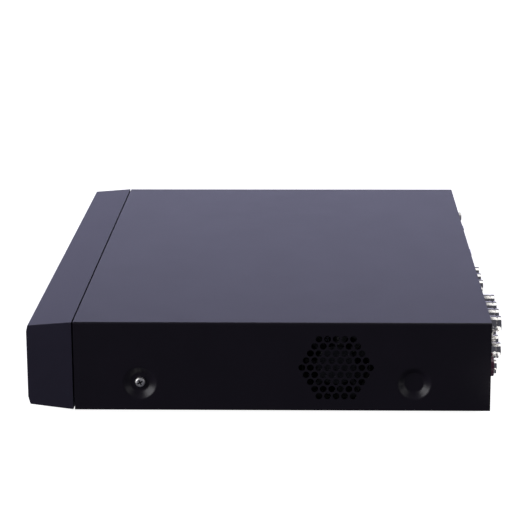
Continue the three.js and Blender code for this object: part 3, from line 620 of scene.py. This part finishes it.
def build_vga():
    """Monitor socket: shell and skirt, insert with its fifteen holes, and two nuts."""
    low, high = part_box("vga_socket")
    x, z, tip, face = (low.x + high.x) / 2, high.z - VGA_HALF_HEIGHT, high.y, PANEL_FACE
    plate = add_object("vga_shell", box((low.x, face - MM, z - VGA_HALF_HEIGHT),
        (high.x, face, high.z)), "steel")
    body = box((x - 13 * MM, low.y, low.z), (x + 13 * MM, face - 0.5 * MM, z + 5.75 * MM))
    boolean(plate, body, "UNION")
    skirt = vga_outline(x, z, 8.5, 7.1, 4.1, 1.6)
    boolean(plate, y_prism(skirt, face - 0.5 * MM, tip), "UNION")
    inner = vga_outline(x, z, 8.0, 6.65, 3.65, 1.3)
    boolean(plate, y_prism(inner, tip - 5.2 * MM, tip + MM))
    soften(plate, 0.2)
    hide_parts("vga_socket")
    core = vga_outline(x, z, 7.9, 6.55, 3.55, 1.2)
    insert = add_object("vga_insert", y_prism(core, tip - 5.1 * MM, tip - 0.3 * MM), "blue")
    spots = [(x + (i * 2.29 + row * 0.57) * MM, 0, z + row * 1.98 * MM)
        for row in (-1, 0, 1) for i in (-2, -1, 0, 1, 2)]
    boolean(insert, merged([rod("Y", spot, 0.5 * MM, tip - 4 * MM, tip, 14) for spot in spots]))
    soften(insert, 0.08, 1)
    for side, word in zip(SIDES, ("left", "right")):
        place = (x + side * 12.5 * MM, 0, z)
        nut = add_object(f"vga_nut_{word}",
            rod("Y", place, 2.6 * MM, face + 0.02 * MM, face + 3.2 * MM, 6), "nickel")
        boolean(nut, rod("Y", place, 1.35 * MM, face + MM, face + 4 * MM, 24))
        soften(nut, 0.2)


# ---- jacks

def build_bnc(index):
    """Boss, bayonet barrel with its groove and studs, insulator and split centre contact."""
    node = f"bnc_jack_{index}"
    middle, tip = centre_of(node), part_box(node)[1].y
    x, z = middle.x, middle.z
    profile = points_from(PANEL_FACE - MM, (0, 0), (5.8, 0), (5.8, 2.0), (5.55, 2.25),
        (4.45, 2.25), (4.45, 3.0), (4.7, 3.2), (4.8, 3.4))
    profile += points_from(tip, (4.8, -3.05), (4.42, -2.85), (4.42, -2.35), (4.8, -2.15),
        (4.8, -0.35), (4.62, -0.06), (4.45, 0), (4.2, -0.05), (4.05, -0.4), (4.05, -6.5), (0, -6.5))
    shell = add_object(f"bnc_shell_{index}", turned("Y", (x, 0, z), profile, 48), "nickel")
    studs = []
    for side in SIDES:
        ends = sorted((x + side * 4.2 * MM, x + side * 5.75 * MM))
        studs.append(rod("X", (0, tip - 3.9 * MM, z), 0.95 * MM, *ends, 20))
    boolean(shell, merged(studs), "UNION")
    smooth(shell, 35)
    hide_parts(node)
    insulator = add_object(f"bnc_insulator_{index}", turned("Y", (x, 0, z), points_from(
        tip, (0, -6.45), (4.0, -6.45), (4.0, -6.0), (2.45, -5.8), (2.4, -1.9), (2.2, -1.6),
        (1.05, -1.6), (1.0, -3.0), (0, -3.0)), 32), "cream")
    smooth(insulator, 35)
    contact = add_object(f"bnc_contact_{index}", turned("Y", (x, 0, z), points_from(
        tip, (0, -2.95), (0.9, -2.95), (0.9, -1.75), (0.72, -1.6), (0.5, -1.7), (0.5, -2.7),
        (0, -2.7)), 20), "gold")
    boolean(contact, block((x, tip, z), (-0.1, -2.6, -1.2), (0.1, -1, 1.2)))
    smooth(contact, 35)


def build_phono(name, node, collar_finish, body_piece=False):
    """Coloured collar, plated shell and its insulator round the pin hole. A jack with a body
    piece is a part of its own: the collar reaches further out and a housing joins it inside."""
    low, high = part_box(node)
    x, z, tip = (low.x + high.x) / 2, high.z - COLLAR_RADIUS, high.y
    seat = PANEL_FACE - MM
    collar_front = tip - 1.6 * MM if body_piece else PANEL_FACE + 1.3 * MM
    collar_profile = [(0, seat), (COLLAR_RADIUS, seat)]
    collar_profile += points_from(collar_front, (5.8, -0.5), (5.65, -0.15), (5.3, 0), (4.2, 0),
        (4.2, -0.6), (0, -0.6))
    collar = add_object(f"{name}_collar", turned("Y", (x, 0, z), collar_profile, 48), collar_finish)
    if body_piece:
        boolean(collar, box((x - 5.6 * MM, low.y, low.z),
            (x + 5.3 * MM, seat + 0.4 * MM, z + 4.4 * MM)), "UNION")
    smooth(collar, 40)
    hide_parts(node)
    shell_profile = points_from(collar_front, (0, -0.55), (4.15, -0.55))
    shell_profile += points_from(tip, (4.15, -0.4), (4.02, -0.08), (3.8, 0), (3.5, -0.06),
        (3.4, -0.35), (3.4, -0.7), (0, -0.7))
    shell = add_object(f"{name}_shell", turned("Y", (x, 0, z), shell_profile, 48), "nickel")
    boolean(shell, rod("Y", (x, 0, z), 2.6 * MM, tip - 2.0 * MM, tip, 32))
    smooth(shell, 35)
    ring = add_object(f"{name}_insulator", tube((x, 0, z), points_from(
        tip, (1.65, -1.95), (2.55, -1.95), (2.55, -0.55), (2.4, -0.42), (1.8, -0.42),
        (1.65, -0.55), (1.65, -1.95)), 32), "cream")
    smooth(ring, 35)


def build_inlet():
    """Low-voltage inlet: square body with a flared round mouth, and its centre pin."""
    low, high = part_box("dc_inlet")
    x, z = (low.x + high.x) / 2, high.z - INLET_HALF_HEIGHT
    body = add_object("inlet_body", box((low.x, low.y, z - INLET_HALF_HEIGHT), high), "black")
    boolean(body, box((x - 3 * MM, low.y, low.z), (x + 3 * MM, low.y + 6 * MM, z)), "UNION")
    boolean(body, turned("Y", (x, 0, z), points_from(
        high.y, (0, -9.8), (3.15, -9.8), (3.15, -0.5), (3.7, 0.1), (0, 0.1)), 40))
    soften(body, 0.22)
    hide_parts("dc_inlet")
    pin = add_object("inlet_pin", turned("Y", (x, 0, z), points_from(
        high.y, (0, -9.6), (1.05, -9.6), (1.05, -1.6), (0.7, -1.1), (0, -1.0)), 24), "nickel")
    smooth(pin, 40)


def build_terminals():
    """Terminal block: stepped body, eight wire holes with their clamps, and eight screws."""
    low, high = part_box("terminal_block")
    body = add_object("terminal_body", box(low, high), "green")
    count, face = 8, high.y
    middle, z = (low.x + high.x) / 2, (low.z + high.z) / 2
    pitch = (high.x - low.x - MM) / count
    xs = [middle + (i - (count - 1) / 2) * pitch for i in range(count)]
    screw_z = z + 3.2 * MM
    step = box((low.x - MM, face - 1.4 * MM, z + 1.0 * MM), (high.x + MM, face + MM, high.z + MM))
    boolean(body, step)
    cuts = [block((x, face, z), (-1.25, -6, -4.2), (1.25, 1, -1.0)) for x in xs]
    cuts += [rod("Y", (x, 0, screw_z), 1.2 * MM, face - 5 * MM, face, 20) for x in xs]
    boolean(body, merged(cuts))
    soften(body, 0.15)
    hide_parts("terminal_block")
    plates = [block((x, face, z), (-1.15, -5.9, -4.1), (1.15, -2.2, -3.4)) for x in xs]
    clamps = add_object("terminal_clamps", merged(plates), "zinc")
    soften(clamps, 0.1, 1)
    for i, x in enumerate(xs):
        screw = add_object(f"terminal_screw_{i + 1}", turned("Y", (x, 0, screw_z), points_from(
            face, (0, -4.9), (1.1, -4.9), (1.1, -2.4), (0.95, -2.2), (0, -2.2)), 20), "zinc")
        boolean(screw, block((x, face, z), (-1.2, -2.7, 3.02), (1.2, -2, 3.38)))
        soften(screw, 0.05, 1)


def build_switch():
    """Switch frame, and the rocker with its hollow face turned about its pivot to rest."""
    low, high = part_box("switch_body")
    x, z = (low.x + high.x) / 2, (low.z + high.z) / 2
    outline = rounded_rectangle(low.x, high.x, low.z, high.z, 1.0 * MM)
    body = add_object("switch_frame", y_prism(outline, PANEL_FACE + 0.3 * MM, high.y), "black")
    boolean(body, box((low.x + MM, low.y, low.z + MM),
        (high.x - MM, high.y - 0.6 * MM, high.z - MM)), "UNION")
    boolean(body, box((x - 5.8 * MM, low.y + 2 * MM, z - 9.4 * MM),
        (x + 5.8 * MM, high.y + MM, z + 9.4 * MM)))
    soften(body, 0.3, 3)
    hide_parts("switch_body")

    joint = next(j for j in frame["joints"] if j["name"] == "rocker_tilt")
    pivot = Vector(joint["pos_m"])
    half_turn = radians(joint["range_deg"][1] / 2)
    turn = Matrix.Rotation(-half_turn, 2)
    dip, rise, reach, steps, half = 2.0, 1.45, 7.4, 12, 5.5 * MM

    def face_point(v):
        """A point of the rocker's hollow face, v millimetres up from its middle."""
        return (dip + rise * (v / reach) ** 2, v)

    outline = [(-3.0, -6.5), (2.7, -8.2), (3.2, -8.05), (3.45, -7.5)]
    outline += [face_point(reach * (2 * i / steps - 1)) for i in range(1, steps)]
    outline += [(3.45, 7.5), (3.2, 8.05), (2.7, 8.2), (-3.0, 6.5)]
    points = [turn @ Vector(point) * MM for point in outline]
    bm = prism("X", [(pivot.y + p.x, pivot.z + p.y) for p in points], x - half, x + half)
    rocker = add_object("rocker_cap", bm, "switch", "rocker")
    soften(rocker, 0.35, 3, 40)
    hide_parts("power_rocker")
    bar = block((0, 0, 0), (-0.3, -0.05, -1.3), (0.3, 0.03, 1.3))
    ring = tube((0, 0, 0), points_from(0, (1.0, -0.05), (1.5, -0.05), (1.5, 0.03),
        (1.0, 0.03), (1.0, -0.05)), 32)
    for v, mark in ((4.6, bar), (-4.6, ring)):
        spot = turn @ Vector(face_point(v)) * MM
        slope = -half_turn - atan(2 * rise * v / reach ** 2)
        bmesh.ops.rotate(mark, cent=(0, 0, 0), matrix=Matrix.Rotation(slope, 3, "X"), verts=mark.verts)
        bmesh.ops.translate(mark, vec=(x, pivot.y + spot.x, pivot.z + spot.y), verts=mark.verts)
    add_object("rocker_marks", merged([bar, ring]), "mark", "rocker")


# ---- screws and feet

def cross_recess(axis, centre, face, inward, reach):
    """The Phillips cross: two tapered slots. face is where the head's top is along the axis."""
    half, thick = reach * MM, 0.45 * MM
    mouth, shoulder, bottom = (face + inward * depth * MM for depth in (-0.4, 0.25, 1.3))
    outline = [(-half, mouth), (half, mouth), (half * 0.86, shoulder), (half * 0.30, bottom),
        (-half * 0.30, bottom), (-half * 0.86, shoulder)]
    slots = []
    for degrees in (28, 118):
        bm = y_prism(outline, -thick, thick)
        spin = Matrix.Rotation(radians(degrees), 3, "Z")
        bmesh.ops.rotate(bm, cent=(0, 0, 0), matrix=spin, verts=bm.verts)
        bmesh.ops.transform(bm, matrix=AXES[axis].to_4x4(), verts=bm.verts)
        bmesh.ops.translate(bm, vec=centre, verts=bm.verts)
        slots.append(bm)
    return slots


def pan_screw(name, node, axis, outward, head_height):
    """A pan-head screw with a Phillips cross, in the box of its node; outward is the head's sign on
    axis. Its cross is lined with painted shade.
    """
    low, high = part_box(node)
    k = "XYZ".index(axis)
    centre = (low + high) / 2
    centre[k] = 0
    top, end = (high[k], low[k]) if outward > 0 else (low[k], high[k])
    head, shank, h = 3.0 * MM, 1.45 * MM, head_height * MM
    seat = top - outward * h
    profile = [(0, end), (shank * 0.7, end), (shank, end + outward * 0.8 * MM), (shank, seat),
        (head, seat)]
    steps = 7
    for t in (radians(90 * i / steps) for i in range(steps + 1)):
        profile.append((head * (0.55 + 0.45 * cos(t)), seat + outward * h * (0.45 + 0.55 * sin(t))))
    profile.append((0, top))
    screw = add_object(name, turned(axis, centre, profile, 40), "zinc", edge="recess_shade")
    # The slots' faces take the near-black second finish: painted shade standing in for the shadow inside
    # the cross.
    for slot in cross_recess(axis, centre, top, -outward, 1.86):
        for face in slot.faces:
            face.material_index = 1
        boolean(screw, slot)
    smooth(screw, 35)
    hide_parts(node)


def build_screws():
    """Pan screws in the sides, rear panel and disk, and the ground post with its washer."""
    pan_screw("screw_right", "side_screw_right", "X", 1, 2.2)
    pan_screw("screw_left", "side_screw_left", "X", -1, 2.2)
    for i in range(1, 4):
        pan_screw(f"screw_rear_{i}", f"rear_screw_{i}", "Y", 1, 2.0)
    for i in range(1, 5):
        pan_screw(f"screw_disk_{i}", f"disk_screw_{i}", "Z", -1, 1.5)
    low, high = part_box("ground_screw")
    middle = (low + high) / 2
    centre = (middle.x, 0, middle.z)
    profile = points_from(low.y, (0, 0), (1.45, 0))
    profile += points_from(PANEL_FACE, (1.45, 0.3), (4.2, 0.3), (4.2, 1.15), (4.05, 1.3), (3.2, 1.3))
    profile += points_from(high.y, (3.2, -0.9), (3.05, -0.45), (2.5, -0.1), (1.6, 0), (0, 0))
    post = add_object("ground_post", turned("Y", centre, profile, 40), "zinc")
    for slot in cross_recess("Y", centre, high.y, -1, 1.8):
        boolean(post, slot)
    smooth(post, 35)
    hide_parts("ground_screw")


def build_feet():
    """Four round rubber feet with a hollow underside."""
    for i in range(1, 5):
        middle, height = centre_of(f"foot_{i}"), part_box(f"foot_{i}")[1].z
        profile = points_from(0, (0, 0.5), (3.4, 0.5), (4.0, 0.1), (4.3, 0), (8.3, 0), (8.8, 0.2),
            (9.0, 0.7))
        profile += points_from(height, (8.4, 0), (0, 0))
        foot = add_object(f"rubber_foot_{i}", turned("Z", (middle.x, middle.y, 0), profile, 48),
            "rubber")
        smooth(foot, 40)
        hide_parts(f"foot_{i}")


# ---- tray and rear panel

def turned_at(spots, profile):
    """The same body turned about Z at each (x, y) spot."""
    return [turned("Z", (x, y, 0), profile, 40) for x, y in spots]


def build_tray():
    """Bottom, front wall, lips, screw tabs and fan wall, with the stamped bosses hollow below."""
    low, high = TRAY_LOW, TRAY_HIGH
    floor = low.z + SHEET
    # The tray's bevels take the painted edge highlight.
    tray = add_object("tray", box(low, (high.x, high.y, floor)), "paint", edge="paint_edge_highlight")
    walls = [box((low.x, low.y, low.z), (high.x, low.y + SHEET, high.z))]
    lip = (high.x - SHEET, high.x, low.y, COVER_HIGH.y - 5 * MM, 8.5 * MM)
    tab_y = (SCREW_DIMPLE_Y - 10 * MM, SCREW_DIMPLE_Y + 10 * MM)
    screw_tab = (high.x - 4 * MM, high.x - 3 * MM, *tab_y, DIMPLE_Z + 9 * MM)
    for side in SIDES:
        for x0, x1, y0, y1, top in (lip, screw_tab):
            walls.append(on_side(side, box((x0, y0, low.z + 0.1 * MM), (x1, y1, top))))
    wall_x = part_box("fan_frame")[0].x - 0.3 * MM
    walls.append(box((wall_x - SHEET, FAN_CENTRE.y - 23 * MM, low.z + 0.1 * MM),
        (wall_x, FAN_CENTRE.y + 23 * MM, FAN_CENTRE.z + 21 * MM)))
    for wall in walls:
        boolean(tray, wall, "UNION")
    disk_z, board_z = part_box("hard_disk")[0].z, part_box("main_board")[0].z
    disk_spots = [centre_of(f"disk_screw_{i}").xy for i in range(1, 5)]
    board_spots = [(x * MM, y * MM) for x, y in (
        (-140, 62), (-140, 112), (-20, 112), (55, 0), (80, 112), (150, 0))]
    bosses = turned_at(disk_spots, points_from(low.z, (0, 0.2), (6, 0.2))
        + points_from(floor, (6, 0.2)) + points_from(disk_z, (4.5, -0.3), (0, -0.3)))
    bosses += turned_at(board_spots, points_from(low.z, (0, 0.2), (4.5, 0.2))
        + points_from(board_z, (3, -0.3), (0, -0.3)))
    boolean(tray, merged(bosses), "UNION")
    hollows = turned_at(disk_spots, points_from(low.z, (0, -1), (5.6, -1), (5.0, 0.25), (1.9, 0.25))
        + points_from(disk_z, (1.9, 0), (0, 0)))
    hollows += turned_at(board_spots, points_from(low.z, (0, -1), (3.9, -1))
        + points_from(board_z, (2.2, -1.6), (0, -1.6)))
    hollows.append(rod("X", (0, FAN_CENTRE.y, FAN_CENTRE.z), FAN_BORE, wall_x - 3 * MM, wall_x + MM, 64))
    for side in SIDES:
        hollows.append(on_side(side, rod("X", (0, SCREW_DIMPLE_Y, DIMPLE_Z), 1.9 * MM,
            high.x - 6 * MM, high.x - 2 * MM, 24)))
    hollows += [block((x, low.y, z), (-6, -1, -1.5), (6, 2, 1.5)) for x, z in HOOK_SPOTS]
    hollows.append(block((0, low.y, 0), (80, -1, 23), (140, 2, 37)))
    boolean(tray, merged(hollows))
    soften(tray, 0.12, edge=True)
    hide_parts("base_tray")


def build_panel():
    """The rear panel with a cut-out round every connector."""
    low, high = PANEL_LOW, PANEL_HIGH
    y0, y1 = high.y - SHEET, high.y
    # The panel's bevels take the painted edge highlight.
    panel = add_object("panel", box((low.x, y0, low.z), (high.x, y1, high.z)), "paint",
        edge="paint_edge_highlight")
    boolean(panel, box((low.x + 2 * MM, low.y, low.z + 1.3 * MM),
        (high.x - 2 * MM, y0 + 0.5 * MM, low.z + 2.3 * MM)), "UNION")

    def round_hole(node, radius, z=None):
        middle = centre_of(node)
        return rod("Y", (middle.x, 0, middle.z if z is None else z), radius * MM, y0 - MM, y1 + MM, 48)

    def square_hole(node, height=None, gap=0.3):
        """height, if given, is how far down from the node's top the hole reaches."""
        a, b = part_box(node)
        g = gap * MM
        low_z = a.z if height is None else b.z - height
        outline = rounded_rectangle(a.x - g, b.x + g, low_z - g, b.z + g, 0.6 * MM, 4)
        return y_prism(outline, y0 - MM, y1 + MM)

    tools = [round_hole(f"bnc_jack_{i}", 6.1) for i in range(1, 9)]
    tools += [round_hole(f"audio_jack_{i}", 6.1) for i in range(1, 7)]
    tools.append(square_hole("vga_socket", 2 * VGA_HALF_HEIGHT))
    for node in ("hdmi_socket", "lan_socket", "rear_usb_socket", "terminal_block"):
        tools.append(square_hole(node))
    tools.append(square_hole("dc_inlet", 2 * INLET_HALF_HEIGHT))
    tools.append(square_hole("switch_body", gap=-0.7))
    for node in ("rear_screw_1", "rear_screw_2", "rear_screw_3", "ground_screw"):
        tools.append(round_hole(node, 1.9))
    boolean(panel, merged(tools))
    # The microphone jack's hole runs into the one above it, so it is cut on its own.
    boolean(panel, round_hole("microphone_jack", 5.95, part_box("microphone_jack")[1].z - COLLAR_RADIUS))
    soften(panel, 0.12, edge=True)
    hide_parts("rear_panel")


# ---- fan

def fan_blade(blade, count, x0, x1):
    """One of count curved blades: two skins over a grid of rows and columns, closed at the rim."""
    rows, columns, tip = 6, 8, 18.2 * MM
    bm = bmesh.new()
    skins = []
    for side in SIDES:
        skin = []
        for i in range(rows + 1):
            radius = HUB - 0.5 * MM + (tip - HUB + 0.5 * MM) * i / rows
            line = []
            for k in range(columns + 1):
                t = k / columns - 0.5
                chord = radians(40 - 4 * i / rows)
                angle = 2 * pi * blade / count + chord * t + radians(5) * i / rows
                along = (x0 + x1) / 2 + t * (x1 - x0 - 1.4 * MM)
                along += cos(pi * t) * 0.8 * MM + side * 0.36 * MM * (1 - 3 * t * t)
                line.append(bm.verts.new((along, radius * sin(angle), radius * cos(angle))))
            skin.append(line)
        skins.append(skin)
        for i in range(rows):
            for k in range(columns):
                bm.faces.new((skin[i][k], skin[i][k + 1], skin[i + 1][k + 1], skin[i + 1][k]))
    top, under = skins
    for i in range(rows):
        for k in (0, columns):
            bm.faces.new((top[i][k], top[i + 1][k], under[i + 1][k], under[i][k]))
    for k in range(columns):
        for i in (0, rows):
            bm.faces.new((top[i][k], top[i][k + 1], under[i][k + 1], under[i][k]))
    bmesh.ops.recalc_face_normals(bm, faces=bm.faces)
    bmesh.ops.translate(bm, vec=(0, FAN_CENTRE.y, FAN_CENTRE.z), verts=bm.verts)
    return bm


def build_fan():
    """Fan housing with its boss, struts and axle, the sticker, and the turning hub with its blades."""
    low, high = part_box("fan_frame")
    c = FAN_CENTRE
    centre = (0, c.y, c.z)
    outline = rounded_rectangle(low.y, high.y, low.z, high.z, 2.4 * MM)
    body = add_object("fan_housing", prism("X", outline, low.x, high.x), "fan")
    flare = FAN_BORE + 0.9 * MM
    tools = [turned("X", centre, [
        (0, low.x - MM), (flare, low.x - MM), (FAN_BORE, low.x + 1.2 * MM),
        (FAN_BORE, high.x - 1.2 * MM), (flare, high.x + MM), (0, high.x + MM)], 72)]
    for dy in (-16 * MM, 16 * MM):
        for dz in (-16 * MM, 16 * MM):
            tools.append(rod("X", (0, c.y + dy, c.z + dz), 1.7 * MM, low.x - MM, high.x + MM, 24))
    boolean(body, merged(tools))
    plate = high.x - 2 * MM
    boolean(body, turned("X", centre, [
        (0, plate), (HUB, plate), (HUB, high.x - 0.3 * MM), (HUB - 0.3 * MM, high.x), (0, high.x)], 56),
        "UNION")
    for degrees in (45, 135, 225, 315):
        strut = box((plate, -MM, HUB - MM), (high.x - 0.2 * MM, MM, FAN_BORE + 0.7 * MM))
        turn = Matrix.Rotation(radians(degrees), 3, "X")
        bmesh.ops.rotate(strut, cent=(0, 0, 0), matrix=turn, verts=strut.verts)
        bmesh.ops.translate(strut, vec=centre, verts=strut.verts)
        boolean(body, strut, "UNION")
    boolean(body, rod("X", centre, 1.5 * MM, low.x + 2.4 * MM, plate + MM, 24), "UNION")
    soften(body, 0.2)
    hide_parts("fan_frame")
    disc = rod("X", centre, 10.6 * MM, high.x - 0.02 * MM, high.x + 0.08 * MM, 56)
    label = add_object("fan_sticker", disc, "label")
    smooth(label)

    rotor_low, rotor_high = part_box("fan_rotor")
    x0, x1 = rotor_low.x, rotor_high.x
    rotor = add_object("fan_blades", turned("X", centre, [
        (0, x0), (HUB - 0.9 * MM, x0), (HUB - 0.3 * MM, x0 + 0.25 * MM), (HUB, x0 + 0.9 * MM),
        (HUB, x1), (1.9 * MM, x1), (1.9 * MM, x0 + 1.4 * MM), (0, x0 + 1.4 * MM)], 56), "fan", "fan")
    count = 7
    for blade in range(count):
        boolean(rotor, fan_blade(blade, count, x0, x1), "UNION")
    smooth(rotor, 45)
    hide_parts("fan_rotor")


# ---- carried-over CAD nodes

CARRIED = {
    "front_board": "board", "main_board": "board", "infrared_receiver": "gloss",
    "heat_sink": "heat_sink", "coin_cell": "zinc", "cell_holder": "black", "hard_disk": "disk",
    "disk_data_lead": "lead", "disk_power_lead": "black", "bnc_housing": "black",
    "audio_housing": "black",
}


def finish_carried():
    """Gives the nodes that keep their CAD shape their finishes."""
    for node, finish in CARRIED.items():
        materials = frame["nodes"][node].data.materials
        materials.clear()
        materials.append(FINISH[finish])


# ---- studio and camera

def area_light(name, position, target, size, power, color):
    """A rectangular lamp at position that faces target and that the camera doesn't see."""
    data = bpy.data.lights.new(name, "AREA")
    data.shape = "RECTANGLE"
    data.size, data.size_y = size
    data.energy = power
    data.color = color
    light = link(name, data)
    light.location = position
    light.rotation_euler = (Vector(target) - Vector(position)).to_track_quat("-Z", "Y").to_euler()
    light.visible_camera = False


def build_camera():
    """The camera looks along -X and down, a little clockwise, at the side with the vent."""
    place = (1.3065, 0.0314, 0.3720)
    turns = ((91.696, "Z"), (75.964, "X"), (-0.303, "Z"))
    heading, tilt, roll = (Matrix.Rotation(radians(degrees), 4, axis) for degrees, axis in turns)
    data = bpy.data.cameras.new("camera")
    data.sensor_width = 36
    data.lens = 137.38
    data.clip_start = 0.01
    camera = link("camera", data)
    camera.matrix_world = Matrix.Translation(place) @ heading @ tilt @ roll
    bpy.context.scene.camera = camera


def white_glow(name, base, roughness, specular, strength):
    """A grey surface of brightness base that also gives off white light."""
    material = bpy.data.materials.new(name)
    material.use_nodes = True
    shader = material.node_tree.nodes["Principled BSDF"]
    shader.inputs["Base Color"].default_value = (base, base, base, 1)
    shader.inputs["Roughness"].default_value = roughness
    shader.inputs["Specular IOR Level"].default_value = specular
    shader.inputs["Emission Color"].default_value = (1, 1, 1, 1)
    shader.inputs["Emission Strength"].default_value = strength
    return material


def build_floor():
    """A white floor that lights and reflections leave out."""
    bm = bmesh.new()
    bmesh.ops.create_grid(bm, x_segments=1, y_segments=1, size=30)
    floor = linked("floor", bm)
    floor.data.materials.append(white_glow("floor_white", 0.9, 0.9, 0.1, 0.96))
    floor.visible_glossy = False
    floor.visible_diffuse = False


def mirror_sheet(name, path, y_low, y_high):
    """A white sheet that only reflections see; path is its (X, Z) outline."""
    bm = bmesh.new()
    rows = [[bm.verts.new((x, y, z)) for y in (y_low, y_high)] for x, z in path]
    for near, far in zip(rows, rows[1:]):
        bm.faces.new((near[0], near[1], far[1], far[0]))
    sheet = linked(name, bm)
    sheet.data.materials.append(white_glow(name, 0, 0.5, 0, 1.5))
    sheet.visible_camera = False
    sheet.visible_diffuse = False
    sheet.visible_shadow = False


def build_mirror_sheets():
    """An arch over the connector end and a strip on the floor beside it."""
    radius, steps = 1.5, 16
    turns = [radians(70 + 52 * i / steps) for i in range(steps + 1)]
    mirror_sheet("arch", [(radius * cos(t), radius * sin(t)) for t in turns], 0.24, 1.5)
    mirror_sheet("strip", [(0.03, 0.0005), (0.25, 0.0005)], 0.142, 0.156)


def build_world():
    """A white studio: the camera sees white, and the object is lit by a soft dim surround."""
    world = bpy.data.worlds.new("studio")
    world.use_nodes = True
    tree = world.node_tree
    rays = tree.nodes.new("ShaderNodeLightPath")
    shown = mix(tree, rays.outputs["Is Camera Ray"], (0.078, 0.079, 0.099), (1, 1, 1))
    tree.links.new(shown, tree.nodes["Background"].inputs["Color"])
    bpy.context.scene.world = world


def build_studio():
    """Camera, floor, reflected sheets, surround and lamps."""
    build_camera()
    build_floor()
    build_mirror_sheets()
    build_world()
    middle, daylight = (0, 0, 0.03), (0.97, 0.97, 1)
    area_light("backdrop", (-3.0, 0, 0.6), (0, 0, 0.05), (5.0, 1.2), 21, (0.68, 0.675, 1.0))
    area_light("key_front_left", (1.0, -1.8, 0.85), middle, (1.6, 1.6), 24, daylight)
    area_light("fill_rear_right", (1.0, 1.9, 0.8), middle, (1.2, 1.2), 3, daylight)
    area_light("fill_rear", (-0.4, 2.0, 0.9), middle, (0.8, 0.8), 14, daylight)
    bpy.context.scene.view_settings.view_transform = "Standard"


# ---- assembly

def main():
    """Builds the studio and every piece."""
    build_studio()
    build_cover()
    build_bezel()
    build_front_controls()
    build_tray()
    build_panel()
    for index in range(1, 9):
        build_bnc(index)
    for index in range(1, 7):
        build_phono(f"audio_{index}", f"audio_jack_{index}", "black" if index < 4 else "white")
    build_phono("microphone", "microphone_jack", "red", body_piece=True)
    build_usb()
    build_lan()
    build_hdmi()
    build_vga()
    build_inlet()
    build_terminals()
    build_switch()
    build_screws()
    build_feet()
    build_fan()
    finish_carried()


main()
